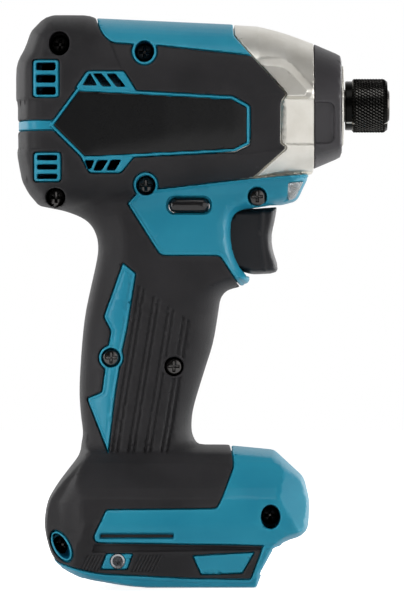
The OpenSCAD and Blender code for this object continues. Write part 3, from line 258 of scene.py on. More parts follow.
BOARD = moulded("green circuit board", (34, 94, 58), (60, 124, 84), 1.6, 0.01, 0.4)
LENS = clear_plastic("clear lens")
SCREW_BLACK = metal("blackened screw", (92, 90, 89), (56, 55, 54), 3.0, 0.01, 0.2)
# Knurling: its peaks and ring edges are painted pale, partly as wear and partly as painted glints
KNURLED = metal("blackened knurling", (26, 26, 25), (18, 18, 17), 3.0, 0.01, 0.24,
                wear_and_glint=(186, 183, 178))


# Outlines on the sides
def curve(points):
    """Outline whose points may carry a third value, the length over which it is rounded."""
    count = len(points)
    out = []
    for i, point in enumerate(points):
        here = np.array(point[:2], float)
        reach = point[2] if len(point) > 2 else 0
        if not reach:
            out.append(here)
            continue
        before = np.array(points[i - 1][:2], float) - here
        after = np.array(points[(i + 1) % count][:2], float) - here
        start = here + before * min(reach / np.linalg.norm(before), 0.5)
        end = here + after * min(reach / np.linalg.norm(after), 0.5)
        for t in np.linspace(0, 1, 7):
            out.append((1 - t) ** 2 * start + 2 * t * (1 - t) * here + t * t * end)
    return np.array(out)


def moved(points, dx, dz):
    return [(p[0] + dx, p[1] + dz, *p[2:]) for p in points]


# Outlines on the head, in front of its back and above the spindle axis
HEAD_OUTLINE = [
    (11.9, 30.5, 1), (9.1, 29, 1), (5.1, 24.9, 1), (3.1, 18.9, 2), (0.5, 14.8, 2), (0.15, 10.8, 2),
    (0.15, -9.5, 2), (0.6, -17.6, 1), (2.2, -25.7, 1), (4.4, -29.8, 1), (7.8, -33.8, 1),
    (18.6, -36, 6), (36, -35, 8), (62, -30.4, 8), (92, -26.4), (140, -20), (140, 20), (92, 26.2),
    (73.3, 27.5), (27.2, 29.6, 1), (24, 30.5, 1)
]
REAR_POINTS = 11
REAR_EDGE = [point[:2] for point in HEAD_OUTLINE[:REAR_POINTS]]
PLATE_OUTLINE = [
    (11.8, -7.4, 0.6), (21.2, 5.3, 0.6), (73.2, 2.5, 0.8), (78.9, -0.7, 0.8), (78.9, -13.6, 0.8),
    (73.7, -16.2, 0.8), (23.4, -18.8, 0.6)
]
PLATE_BORDER = 1.0
UPPER_VENT = [(20.4, 5, 0.4), (24.4, 10.9, 0.8), (36.8, 10.9, 0.8), (41.2, 3.9, 0.4)]
LOWER_VENT = [(22.4, -18, 0.4), (25.2, -23.2, 0.8), (35.8, -23.2, 0.8), (40.4, -17.6, 0.4)]
UPPER_SLOTS = [
    [(23.4, 6.3), (25.4, 9.7), (27.4, 6.3)],
    [(26.9, 9.8), (29.2, 9.8), (32.2, 6), (29.8, 6)],
    [(31.4, 9.7), (33.8, 9.7), (36.9, 5.8), (34.5, 5.8)],
]
LOWER_SLOTS = [
    [(23.9, -19.2), (26.6, -19.2), (25.6, -21.6), (25.2, -21.8)],
    [(28.2, -19.1), (31.1, -19.1), (29.2, -22.1), (26.9, -22.1)],
    [(32.7, -19), (35.5, -19), (33.7, -22), (31.2, -22)],
]
REAR_BAND = [(-2, -5.6), (-2, -8.9), (13.4, -8.9), (12.2, -7.3), (13.4, -5.6)]
REAR_CHANNEL = [(-4, 1.4), (30, 1.4), (30, -15.2), (-4, -15.2)]
TOP_STRIP = [
    (26.2, 36), (27.2, 29.4, 1), (29, 23.8, 3), (32.4, 20.4, 2), (40.1, 19.9), (48.3, 19.5),
    (72, 17), (79.6, 16.1, 0.4), (73.5, 23.1, 0.4), (73.3, 36)
]
CASE_SEAM = [
    (73.3, 45), (73.3, 23.2, 0.6), (79.3, 16.1), (91.0, 3.2, 0.6), (89.2, 1, 0.8), (89, -13.2, 0.8),
    (91.0, -14.6, 0.6), (79.9, -24.6, 0.5), (97.6, -22.6), (160, -22.6), (160, 45)
]
SIDE_BAND = [(73, 3.0, 1), (93, 3.2), (93, -14.8), (75, -16.9, 1), (60, -16), (60, 2)]
FRONT_STRIP = [
    (31.6, 22), (35.9, 11.5), (41.5, 4), (73, 3.1), (95, 3.2), (80, 17), (72, 17.5), (40, 21)
]
SHOULDER = [
    (70, 13.4), (84, 13, 1), (89.8, 12.4, 1.5), (92.6, 10, 1.5), (98.2, 4.2, 0.6), (97, 2.6),
    (70, 2.6)
]

# Exhaust grilles on the head: back end, lower edge, length and height
UPPER_EXHAUST = (6.3, 2.0, 8.9, 12.6)
LOWER_EXHAUST = (6.6, -26.1, 9.2, 9.8)

# Outlines on the grip, in front of its middle and above the head's underside
GRIP_OUTLINE = [
    (-27, 12), (-27, 3, 4), (-21.7, -1.7, 4), (-18.3, -5.7, 3), (-17, -10.8, 4), (-17.6, -16, 4),
    (-19.9, -26, 8), (-22, -36, 8), (-23.6, -56, 10), (-23.4, -66.5, 8), (-21.6, -78, 4),
    (-20, -90), (12, -90), (14.6, -76.7, 4), (14.2, -72.6, 4), (14.6, -66.5, 5), (18.9, -52.4, 9),
    (21.6, -44.3, 6), (23, -36, 6), (24.1, -28.4, 2.5), (26.4, -26, 2), (33, -24.4, 2),
    (34.3, -22.6, 1), (33.9, -20.9, 2), (30.8, -17.7, 4), (28.6, -11.7, 5), (28.1, -5.6, 4),
    (28.8, -1.6, 2), (31, 0.1, 2), (43.2, 2.0, 2), (50, 3.7, 2), (54.3, 12.6, 0.8), (53.2, 14.4, 1),
    (53, 20), (-20, 20)
]
TRIGGER_PANEL = [
    (-7.2, 3, 0.5), (-3.4, 7, 1), (3, 7.8, 2), (34.4, 11.5, 2), (58, 13.5), (58, -26), (33, -26),
    (30.2, -24.3, 1), (23.8, -14.5, 1.2), (4.7, -14.5, 1.2), (3.3, -13.6, 0.6)
]
STRIPE = [
    (-8.7, -16.9, 0.4), (-4.3, -20.5, 0.6), (-7.3, -39.2), (-8.8, -46.1), (-9.9, -52.7),
    (-11.4, -62.1), (-13.6, -81, 0.5), (-20.9, -62.5, 0.6), (-15.8, -60.4, 0.6), (-14.8, -52.7),
    (-13.7, -45.2), (-12.7, -39.8, 0.6), (-15.2, -35.1, 0.6)
]
LENS_OUTLINE = [(46.8, 10.0, 0.3), (58, 11.2), (58, 1.6), (46.5, 3.4, 0.3)]
TRIGGER_OUTLINE = [
    (24, -0.5), (27.2, -0.5), (27.8, 1.4), (36, 1.7), (43.4, 2.2, 0.8), (42.6, -3, 3),
    (41.6, -6.5, 4), (41.5, -10, 4), (42.2, -13.5, 4), (43.9, -18.2, 1.5), (43, -20.6, 1.5),
    (35, -21.0, 1), (24, -18.2)
]
FINGER_FACE = [(20, 9), (38.4, 4), (37.6, -8), (39.6, -24), (20, -24)]

# Outlines on the foot, in front of its back and above the ground
FOOT_OUTLINE = [
    (13.8, 48, 1), (13.6, 46.3, 2), (4.9, 35.1, 3), (1.2, 29, 3), (0, 20, 6), (2.9, 10.1, 4),
    (5.2, 6.8, 3), (12.7, 2.7, 5), (28.5, 0.4, 4), (35, 0), (71.9, 0, 0.8), (78.5, 12.5, 1.5),
    (81.9, 15.5, 2), (87, 16.9, 2), (89.4, 19.6, 2), (89.9, 29, 3), (88, 37, 2), (77.9, 46.3, 1.5),
    (62.3, 47.8, 2)
]
FOOT_PANEL = [
    (61.9, 54), (63.9, 43.2, 1), (63.9, 40.6, 1), (60, 30.4, 1), (58.2, 27.1, 1), (21.5, 26.8, 1),
    (17.2, 17.5, 0.8), (18.3, 15.8, 0.8), (73.8, 14.9, 0.5), (120, 14.9), (120, 54)
]
SIDE_PANEL = [
    (60, 60), (60, 31), (19.5, 29.6, 3), (15.8, 25.6, 4), (11, 13), (11, -5), (120, -5), (120, 60)
]
FOOT_RIM = [
    (-8, 13.4), (1, 11.6), (6, 9), (11.8, 7, 4), (19.2, 5.4, 4), (50.9, 3.9, 2), (69.6, 3.6, 0.8),
    (73.9, 15, 0.4), (120, 15), (120, -4), (-8, -4)
]
FOOT_WINDOW = [(50.3, 11.5, 0.3), (71, 12.7, 0.3), (66.9, 5.6, 0.5), (53.1, 5.1, 0.5)]
HOOK_PAD = [(21.6, 12.2, 0.2), (30.5, 12.2, 0.2), (28.6, 6.9, 0.2), (19.7, 6.9, 0.2)]
LOWER_PANEL = [(17.6, 15.2), (73.4, 14.3), (73.2, 13.4), (17, 12.6)]
FOOT_SLOT = [(19.6, 18.9, 0.3), (44, 18.9, 0.3), (44, 17.2, 0.3), (19.3, 17.2, 0.3)]

# Leaning bore at the back of the foot: place, half width and height, lean, drift, mouth and floor
BORE_AT = (X_FOOT + 6.6, 14.5)
BORE_HALF = (2.1, 4.7)
BORE_LEAN = math.radians(30)
BORE_DRIFT = 0.24
BORE_MOUTH = 29
BORE_FLOOR = 20.5

# Screw holes: place, depth of the seat, half width, half height and what edges them
SCREWS = [
    (X_REAR + 15.2, AXIS_Z + 20.1, 14, 3.5, 4.1, "grip"),
    (X_REAR + 13.8, AXIS_Z - 31.1, 10, 3.4, 3.2, "grip"),
    (X_REAR + 43.6, AXIS_Z + 17.5, 14, 3.3, 3.7, "ring"),
    (X_REAR + 44, AXIS_Z - 27.1, 14, 3.3, 3.4, "ring"),
    (X_REAR + 81.4, HEAD_BOTTOM + 5.3, 12.4, 3.3, 3.3, "panel"),
    (X_GRIP - 12.7, 77.2, 11.4, 3.3, 3.3, "ring"),
    (X_GRIP + 8.4, 74.3, 11.4, 3.3, 3.3, "grip"),
    (X_FOOT + 76.3, 24.4, 14, 3.3, 4.1, "panel"),
    (*BORE_AT, 14, 3.3, 3.3, "bore")
]
SCREW_HEAD_R = 3.1
SCREW_HEAD_H = 2.6
SCREW_R = 2.0
SCREW_L = 20
RING = 0.9
LINING = 0.8

# Inserts of the belt hook
HOOK_AT = (X_FOOT + 25.4, 9.65)
HOOK_R = 2.5
HOOK_FLOOR = FOOT_HALF - 4.1

# Direction lever and the recess round it: half length, half height and corner
LEVER_AT = (X_GRIP + 13.5, HEAD_BOTTOM + 2.4)
LEVER_HALF = (6.8, 2.45, 2.4)
LEVER_RECESS = (7.6, 3.1, 2.6)
LEVER_PLAY = 0.12


def polyline_distance(points, px, pz, closed):
    """Distance to a chain of straight pieces, and the parity of crossings of a closed one."""
    ends = np.roll(points, -1, axis=0) if closed else points[1:]
    starts = points if closed else points[:-1]
    best = np.full(px.shape, 1e9, np.float32)
    inside = np.zeros(px.shape, bool)
    for (ax, az), (bx, bz) in zip(starts, ends):
        dx, dz = bx - ax, bz - az
        t = np.clip(((px - ax) * dx + (pz - az) * dz) / max(dx * dx + dz * dz, 1e-9), 0, 1)
        best = np.minimum(best, (px - ax - t * dx) ** 2 + (pz - az - t * dz) ** 2)
        if closed and az != bz:
            crosses = ((az > pz) != (bz > pz)) & (px < ax + (pz - az) / (bz - az) * dx)
            inside ^= crosses
    return np.sqrt(best), inside


class Block:
    """Grid of points in millimetres: along x, out from the middle plane, and up."""

    def __init__(self, low, high, step):
        self.low = np.array(low, float)
        self.step = step
        axes = [np.arange(a, b + step, step, dtype=np.float32) for a, b in zip(low, high)]
        self.x = axes[0][:, None, None]
        self.v = axes[1][None, :, None]
        self.z = axes[2][None, None, :]
        self.side = np.broadcast_arrays(self.x[:, 0], self.z[:, 0])

    def region(self, points):
        """Signed distance to a side outline, negative inside."""
        distance, inside = polyline_distance(curve(points), *self.side, True)
        return np.where(inside, -distance, distance)[:, None, :].astype(np.float32)

    def head(self, points):
        return self.region(moved(points, X_REAR, AXIS_Z))

    def grip(self, points):
        return self.region(moved(points, X_GRIP, HEAD_BOTTOM))

    def foot(self, points):
        return self.region(moved(points, X_FOOT, 0))

    def edge(self, points):
        """Distance to an open side line."""
        distance, _ = polyline_distance(np.array(points, float), *self.side, False)
        return distance[:, None, :].astype(np.float32)

    def disc(self, x, z, radius):
        return np.sqrt((self.x - x) ** 2 + (self.z - z) ** 2) - radius

    def oval(self, x, z, half_x, half_z, lean=0.0):
        """Leaning ellipse whose place may change with depth."""
        along = (self.x - x) * math.cos(lean) + (self.z - z) * math.sin(lean)
        up = (self.z - z) * math.cos(lean) - (self.x - x) * math.sin(lean)
        return (np.sqrt((along / half_x) ** 2 + (up / half_z) ** 2) - 1) * min(half_x, half_z)

    def rounded_box(self, x, z, half_x, half_z, corner):
        qx = np.abs(self.x - x) - half_x + corner
        qz = np.abs(self.z - z) - half_z + corner
        outside = np.sqrt(np.maximum(qx, 0) ** 2 + np.maximum(qz, 0) ** 2)
        return outside + np.minimum(np.maximum(qx, qz), 0) - corner


def block_at(x, z, corners):
    """Fine grid with corners along, out and up from a place on the side."""
    return Block(*[(x + along, out, z + up) for along, out, up in corners], FINE_VOXEL)


def most(fields):
    """What all the fields hold."""
    return functools.reduce(np.maximum, fields)


def least(fields):
    """What any of the fields holds."""
    return functools.reduce(np.minimum, fields)


def smooth_min(a, b, k):
    h = np.clip(0.5 + 0.5 * (b - a) / k, 0, 1)
    return b + (a - b) * h - k * h * (1 - h)


def smooth_max(a, b, k):
    return -smooth_min(-a, -b, k)


def inflate(out, region, half, rounding, power):
    """Form with a side view and a half width, rounded over a depth from the outline."""
    u = np.clip(1 + region / rounding, 0, None) ** power
    q = np.maximum(out, 1e-3) / half
    q_power = q ** power
    total = q_power + u + 1e-6
    rho = total ** (1 / power)
    u_slope = np.clip(1 + region / rounding, 1e-4, None) ** (power - 1) / rounding
    slope = np.sqrt((q_power / q / half) ** 2 + u_slope ** 2) * rho / total
    return ((rho - 1) / np.maximum(slope, 1e-4)).astype(np.float32)


def level(value, places, amounts):
    """Amount at a value, between the entries of a table."""
    return np.interp(value, places, amounts).astype(np.float32)


def within(region, out, into):
    """1 inside a region and 0 outside it, changing over distances out and into from its edge."""
    return level(-region, [-out, into], [0, 1])


# Head: half width and rounding along it, facet round its back, and front end
HEAD_HALF = ([0, 24, 50, 73.3, 93], [30.8, 30.8, 30.4, 29.2, 27.6])
HEAD_ROUNDING = ([0, 10, 28, 60, 93], [9, 10, 23, 24, 21])
HEAD_POWER = 2.6
FACET_START = 15
FACET_SLOPE = 3.6
FACET_EDGE = 0.5
S_HEAD_END = 92.2


def head_field(b):
    s = b.x - X_REAR
    region = b.head(HEAD_OUTLINE)
    form = inflate(b.v, region, level(s, *HEAD_HALF), level(s, *HEAD_ROUNDING), HEAD_POWER)
    rear = b.edge(moved(REAR_EDGE, X_REAR, AXIS_Z))
    facet = (b.v - FACET_START - FACET_SLOPE * rear) / math.hypot(1, FACET_SLOPE)
    return most([smooth_max(form, facet, FACET_EDGE), s - S_HEAD_END])


# Grip: half width up it and its taper forwards, and the squarer block behind the trigger
GRIP_HALF = ([-86, -73, -61, -36, -24, -6, 2, 12], [18, 17.2, 16.5, 16.6, 17.3, 18, 17.7, 17])
GRIP_TAPER = ([20, 53], [0, 1.6])
GRIP_ROUNDING = 17
GRIP_POWER = 2.4
BLOCK_UP = ([-34, -22], [0, 1])
BLOCK_ALONG = ([-14, 2], [0, 1])
BLOCK_SQUARER = 12.2


def grip_field(b):
    region = b.grip(GRIP_OUTLINE)
    up = b.z - HEAD_BOTTOM
    along = b.x - X_GRIP
    half = level(up, *GRIP_HALF) - level(along, *GRIP_TAPER)
    block = level(up, *BLOCK_UP) * level(along, *BLOCK_ALONG)
    return inflate(b.v, region, half, GRIP_ROUNDING - BLOCK_SQUARER * block, GRIP_POWER)


# Foot: half width, lean, rounding and back edge up it, facets at its front, and edges
FOOT_SIDE = ([0, 2.7, 4.7, 12.8, 22, 30.5, 34, 42, 49], [34.5, 36.2, 37, 38, 38, 36.2, 33, 24, 14])
FOOT_LEAN = ([0, 22, 30, 34, 42, 49], [0, 0.05, 0.25, 1.0, 1.2, 1.3])
FOOT_ROUNDING = ([0, 6], [0.8, 3.0])
FOOT_POWER = 2.0
FOOT_BACK = (
    [0, 2.7, 4.7, 8.8, 12.8, 20, 29, 35.1, 46.3, 50],
    [13, 8, 6, 3.4, 1.9, 0, 1.2, 4.9, 13.6, 16]
)
REAR_HALF = 38.0
REAR_ROUNDING = 18.0
REAR_POWER = 2.3
FACET_AT = (76.9, 31)
FACET_OUT = 0.93
FACET_UP = 0.75
FRONT_EDGE = 0.6
RAISED_EDGE = 0.5
REAR_BLEND = 0.8


def foot_field(b):
    region = b.foot(FOOT_OUTLINE)
    lean = level(b.z, *FOOT_LEAN)
    form = inflate(b.v, region, level(b.z, *FOOT_SIDE), level(b.z, *FOOT_ROUNDING), FOOT_POWER)
    form = form / np.sqrt(1 + lean ** 2)
    along = b.x - X_FOOT
    rear = inflate(b.v, level(b.z, *FOOT_BACK) - along, REAR_HALF, REAR_ROUNDING, REAR_POWER)
    raised = (b.foot(SIDE_PANEL) + b.v - FOOT_HALF) / math.sqrt(2)
    form = smooth_max(form, smooth_min(rear, raised, RAISED_EDGE), REAR_BLEND)
    front = along - FACET_AT[0] + (b.v - FOOT_HALF) * FACET_OUT + (b.z - FACET_AT[1]) * FACET_UP
    return smooth_max(form, front / math.hypot(1, FACET_OUT, FACET_UP), FRONT_EDGE)


HEAD_BLEND = 5.0
FOOT_BLEND = 4.0


def body_field(b):
    """Outer form of the housing, out from the middle plane."""
    head = head_field(b)
    grip = grip_field(b)
    foot = foot_field(b)
    return smooth_min(smooth_min(head, grip, HEAD_BLEND), foot, FOOT_BLEND)


# Hammer case along the head: back end, half width, top, and the raised shoulder on its side
S_CASE_BACK = 66.4
CASE_HALF = ([60, 73.3, 91, 100.4, 112], [25.6, 26.2, 25.0, 22.9, 19])
CASE_TOP = ([72.6, 73.2, 81.8, 89.6, 95.4, 100.4, 112], [25.6, 27.3, 26.8, 24.8, 22.8, 20.9, 16.5])
CASE_SCALE = 22
SHOULDER_OUT = ([76, 99], [25.1, 27.2])
SHOULDER_SLOPE = 0.45
SHOULDER_DEPTH = 6
SHOULDER_LAP = 0.4
SHOULDER_EDGE = 0.3

# Flat sides of case and bumper: upper end, then lower end and how much shorter the round below is
FLAT_TOP = 0.5
CASE_FLAT = (-14, 12)
BUMPER_FLAT = (-13, 12.5)


def bulge(b, half, top, flat_low, shorter):
    """1 on a surface that is round above and below a flat side, and less inside it."""
    h = b.z - AXIS_Z
    above = np.maximum(h - FLAT_TOP, 0) / (top - FLAT_TOP)
    below = np.maximum(flat_low - h, 0) / (top - shorter)
    return np.sqrt((np.abs(b.v) / half) ** 2 + above ** 2 + below ** 2)


def case_field(b):
    """Cast case: round above and below a flat side, with a raised flat shoulder."""
    s = b.x - X_REAR
    out = np.abs(b.v)
    round_form = (bulge(b, level(s, *CASE_HALF), level(s, *CASE_TOP), *CASE_FLAT) - 1) * CASE_SCALE
    flat = level(s, *SHOULDER_OUT)
    sloped = b.head(SHOULDER) + SHOULDER_SLOPE * (out - flat)
    sloped = sloped / math.hypot(1, SHOULDER_SLOPE)
    ahead = b.head(CASE_SEAM) - SHOULDER_LAP
    raised = most([sloped, out - flat, flat - SHOULDER_DEPTH - out, ahead])
    return most([smooth_min(round_form, raised, SHOULDER_EDGE), S_CASE_BACK - s])


def sampled(field, at):
    """Field between its grid points."""
    base = np.clip(at.astype(np.int32), 0, np.array(field.shape) - 2)
    part = at - base
    total = 0
    for corner in np.ndindex(2, 2, 2):
        cell = base + corner
        weight = np.where(corner, part, 1 - part).prod(axis=1)
        total = total + weight * field[cell[:, 0], cell[:, 1], cell[:, 2]]
    return total


def slopes(field, at):
    """Directions in which a field grows."""
    steps = SLOPE_STEP * np.eye(3)
    found = [sampled(field, at + step) - sampled(field, at - step) for step in steps]
    found = np.stack(found, axis=1)
    return found / np.maximum(np.linalg.norm(found, axis=1, keepdims=True), 1e-9)


def corner_normals(mesh, field, points):
    """Normals from the field at each face's corners, or the face's own at a sharp edge."""
    corners = np.empty(len(mesh.loops), np.int32)
    mesh.loops.foreach_get("vertex_index", corners)
    sizes = np.empty(len(mesh.polygons), np.int32)
    mesh.polygons.foreach_get("loop_total", sizes)
    flat = np.empty(3 * len(mesh.polygons), np.float32)
    mesh.polygons.foreach_get("normal", flat)
    starts = np.cumsum(sizes) - sizes
    middles = np.repeat(np.add.reduceat(points[corners], starts) / sizes[:, None], sizes, axis=0)
    normals = slopes(field, (1 - CORNER_PULL) * points[corners] + CORNER_PULL * middles)
    return normals, np.repeat(flat.reshape(-1, 3), sizes, axis=0)


def linked(name, mesh, material):
    """Object of a mesh, in the scene."""
    mesh.materials.append(material)
    piece = bpy.data.objects.new(name, mesh)
    scene.collection.objects.link(piece)
    return piece


def mesh_of(name, field, block, material, mirrored=False):
    """Mesh of a field's zero surface, in metres. The field's v is -Y, or +Y when mirrored."""
    reach = FIELD_REACH * block.step
    field = np.ascontiguousarray(np.clip(field, -reach, reach), np.float32)
    grid = openvdb.FloatGrid(reach)
    grid.copyFromArray(field)
    points, triangles, quads = grid.convertToPolygons(0.0, ADAPTIVITY)
    side = 1 if mirrored else -1
    turn = slice(None, None, side)
    corners = np.concatenate([quads[:, turn].ravel(), triangles[:, turn].ravel()])
    sizes = np.repeat([4, 3], [len(quads), len(triangles)])
    mesh = bpy.data.meshes.new(name)
    mesh.vertices.add(len(points))
    placed = (points * block.step + block.low) * MM * (1, side, 1)
    mesh.vertices.foreach_set("co", placed.astype(np.float32).ravel())
    mesh.loops.add(len(corners))
    mesh.loops.foreach_set("vertex_index", corners.astype(np.int32))
    mesh.polygons.add(len(sizes))
    mesh.polygons.foreach_set("loop_start", (np.cumsum(sizes) - sizes).astype(np.int32))
    mesh.polygons.foreach_set("use_smooth", np.ones(len(sizes), bool))
    mesh.update(calc_edges=True)
    mesh.validate()
    normals, flat = corner_normals(mesh, field, points)
    normals = normals * (1, side, 1)
    sharp = (normals * flat).sum(axis=1) < SHARP
    mesh.normals_split_custom_set(np.where(sharp[:, None], flat, normals))
    return linked(name, mesh, material)


def dress(piece, body, slot_name, *replaced):
    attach(piece, body)
    if replaced:
        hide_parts(*replaced)
    return piece


# Grid of the housing: margins, and the length that it leaves to the case
GRID_MARGIN = 1.2
GRID_BELOW = 0.8
CASE_REACH = 24

# Exhaust grilles and their slots, and the depth of all slots
GRILLE_CORNER = 1.0
GRILLE_SLOTS = 3
GRILLE_BORDER = 1.2
SLOTS_CLOSER = 0.15
BAR_HALF = 0.75
SLOT_CORNER = 0.5
SLOT_GROWTH = 0.3
SLOT_FLOOR = 12


def vents(b):
    """Outlines of the exhaust grilles, and all slots that let air through."""
    grilles = []
    slots = []
    for back, low, length, height in (UPPER_EXHAUST, LOWER_EXHAUST):
        x = X_REAR + back + length / 2
        z = AXIS_Z + low + height / 2
        grilles.append(b.rounded_box(x, z, length / 2, height / 2, GRILLE_CORNER))
        pitch = height / GRILLE_SLOTS
        slot = (length / 2 - GRILLE_BORDER, pitch / 2 - BAR_HALF, SLOT_CORNER)
        for k in range(GRILLE_SLOTS):
            slots.append(b.rounded_box(x, z + (k - 1) * (pitch - SLOTS_CLOSER), *slot))
    slots += [b.head(outline) - SLOT_GROWTH for outline in UPPER_SLOTS + LOWER_SLOTS]
    return grilles, least(slots)


def hard_outline(b, grilles):
    """Where the hard plastic shows, seen from the side."""
    shown = [*map(b.head, (PLATE_OUTLINE, UPPER_VENT, LOWER_VENT, TOP_STRIP, REAR_BAND))]
    shown += map(b.grip, (TRIGGER_PANEL, STRIPE))
    shown += map(b.foot, (FOOT_PANEL, FOOT_RIM, FOOT_WINDOW, HOOK_PAD))
    rings = [b.oval(x, z, w + RING, t + RING) for x, z, _, w, t, edge in SCREWS if edge == "ring"]
    bore_ring = b.oval(*BORE_AT, BORE_HALF[0] + RING, BORE_HALF[1] + RING, BORE_LEAN)
    hard = least([*shown, *rings, bore_ring, *grilles])
    return np.maximum(hard, -b.foot(FOOT_SLOT))


# How far outside and inside an outline a step in the surface reaches
STEEP = (0.1, 0.1)
SLANT = (0.3, 0.3)

# Hard surface: drop, steps inside the panels, lines at their borders, band, rim and plate
HARD_DROP = 0.12
HARD_EDGE = 0.5
PANEL_STEP = 0.12
PANEL_SLANT = (-1.0, 1.4)
PANEL_BORDER = 1.2
PANEL_LINE = 0.3
PANEL_LINE_FADE = ([0.15, 0.5], [1, 0])
REAR_BAND_STEP = 0.8
REAR_BAND_SLANT = (0.1, 0.4)
RIM_LINE_IN = 1.5
RIM_LINE_HALF = 0.2
RIM_LINE = 0.4
RIM_LINE_SLANT = (0.2, 0.1)
PLATE_STEP = 1.2


def hard_surface(b, body, hard):
    """Hard plastic under the soft grip, and out to its own surface where it shows."""
    lined = np.minimum(b.grip(TRIGGER_PANEL), b.grip(STRIPE))
    border = level(np.abs(lined + PANEL_BORDER), *PANEL_LINE_FADE)
    step = PANEL_STEP * within(lined, *PANEL_SLANT) + PANEL_LINE * border
    step = step + REAR_BAND_STEP * within(b.head(REAR_BAND), *REAR_BAND_SLANT)
    rim_line = np.abs(b.foot(FOOT_RIM) + RIM_LINE_IN) - RIM_LINE_HALF
    step = step + RIM_LINE * within(rim_line, *RIM_LINE_SLANT)
    step = step + PLATE_STEP * within(b.head(PLATE_OUTLINE) + PLATE_BORDER, *STEEP)
    shown = smooth_max(body + HARD_DROP + step, hard + SEAM, HARD_EDGE)
    return np.minimum(shown, body + SKIN + PLAY)


# Dips of the soft grip: front strip, side band, foot slot, rear channel, line over the low panel
STRIP_DIP = 0.45
BAND_DIP = 0.6
SLOT_DIP = 1.2
CHANNEL_DIP = ([8, 13], [0.6, 0])
CHANNEL_SLANT = (0.2, 0.3)
PANEL_GAP_DEPTH = 1.3
SOFT_EDGE = 0.6


def soft_surface(b, body, hard):
    """Soft grip over the hard plastic, with lower strips and grooves."""
    dip = STRIP_DIP * within(b.head(FRONT_STRIP), *SLANT)
    dip = dip + BAND_DIP * within(b.head(SIDE_BAND), *SLANT)
    dip = dip + SLOT_DIP * within(b.foot(FOOT_SLOT), *STEEP)
    channel = level(b.x - X_REAR, *CHANNEL_DIP) * within(b.head(REAR_CHANNEL), *CHANNEL_SLANT)
    gap = PANEL_GAP_DEPTH * within(b.foot(LOWER_PANEL), *SLANT)
    dip = dip + channel + grip_grooves(b) + gap + hatch(b)
    soft = smooth_max(body + dip, SEAM - hard, SOFT_EDGE)
    return np.maximum(soft, -(body + SKIN))


# Pairs of grooves on the grip
GROOVE_LEAN = 0.164
GROOVE_PIVOT = 96.6
GROOVE_PITCH = 5.5
GROOVE_START = -22.4
GROOVE_PAIR = (0.5, 2.3)
GROOVE_ROWS = ([-23, -22.6, -2.9, -2.5], [0, 1, 1, 0])
GROOVE_LOW = 45.2
GROOVE_TOP = (-16.2, 97.9)
GROOVE_TOP_SLOPE = 0.715
GROOVE_DEPTH = 0.6
GROOVE_BED = 0.12
GROOVE_FADE = ([0.25, 0.6], [1, 0])
GROOVE_SLANT = (0.4, 0.4)


def grip_grooves(b):
    """Pairs of leaning grooves on the side of the grip, under a slanted upper edge."""
    u = b.x - GROOVE_LEAN * (b.z - GROOVE_PIVOT)
    phase = np.mod(u - GROOVE_START, GROOVE_PITCH)
    groove = least([np.abs(phase - place) for place in GROOVE_PAIR])
    top = GROOVE_TOP[1] - (b.x - GROOVE_TOP[0]) * GROOVE_TOP_SLOPE
    zone = within(GROOVE_LOW - b.z, *GROOVE_SLANT) * within(b.z - top, *GROOVE_SLANT)
    zone = zone * level(u, *GROOVE_ROWS)
    return (GROOVE_DEPTH * level(groove, *GROOVE_FADE) + GROOVE_BED) * zone


# Ribs beside the hook's insert
HATCH_LEAN = 0.52
HATCH_PIVOT = 9.2
HATCH_PITCH = 1.15
HATCH_DEPTH = 0.55
HATCH_FADE = ([0.12, 0.42], [1, 0])
HATCH_FIELDS = ([13.6, 13.8, 20.4, 20.6, 30.6, 30.8, 39.4, 39.6], [0, 1, 1, 0, 0, 1, 1, 0])
HATCH_HEIGHTS = ([6.0, 6.3, 11.8, 12.1], [0, 1, 1, 0])


def hatch(b):
    """Leaning ribs on both sides of the hook's insert."""
    lean = b.x - X_FOOT - HATCH_LEAN * (b.z - HATCH_PIVOT)
    fields = level(lean, *HATCH_FIELDS) * level(b.z, *HATCH_HEIGHTS)
    wave = np.abs(np.mod(lean, HATCH_PITCH) - HATCH_PITCH / 2)
    return HATCH_DEPTH * level(wave, *HATCH_FADE) * fields


# Battery slide, its lips and rails, and the contacts' room
SLIDE_STOP = X_FOOT + 14
SLIDE_H = 14
CEILING = 2.6
LIP_HALF = 28.5
LIP_TOP = 7
RAIL_HALF = 33
RAIL_LOW = 5
CONTACTS_HALF = 18.1
CONTACTS_BACK = 3.9
CONTACTS_FRONT = 30.1
CONTACTS_TOP = 18


def battery_slide(b):
    """Slot that a battery slides into from the front, wider above its lips."""
    low = most([b.v - LIP_HALF, b.z - LIP_TOP, SLIDE_STOP - b.x])
    high = most([b.v - RAIL_HALF, b.z - SLIDE_H, RAIL_LOW - b.z, SLIDE_STOP - b.x])
    ends = np.maximum(b.x - SLIDE_STOP - CONTACTS_FRONT, SLIDE_STOP + CONTACTS_BACK - b.x)
    contacts = most([b.v - CONTACTS_HALF, ends, b.z - CONTACTS_TOP])
    return least([low, high, contacts])


# Room for the trigger, and floor of the lever's recess
TRIGGER_WAY_HALF = 9.9
TRIGGER_WAY_BACK = X_GRIP + 13
TRIGGER_WAY_LOW = HEAD_BOTTOM - 21.4
TRIGGER_WAY_RISE = 2.6
RECESS_FLOOR = 15.4


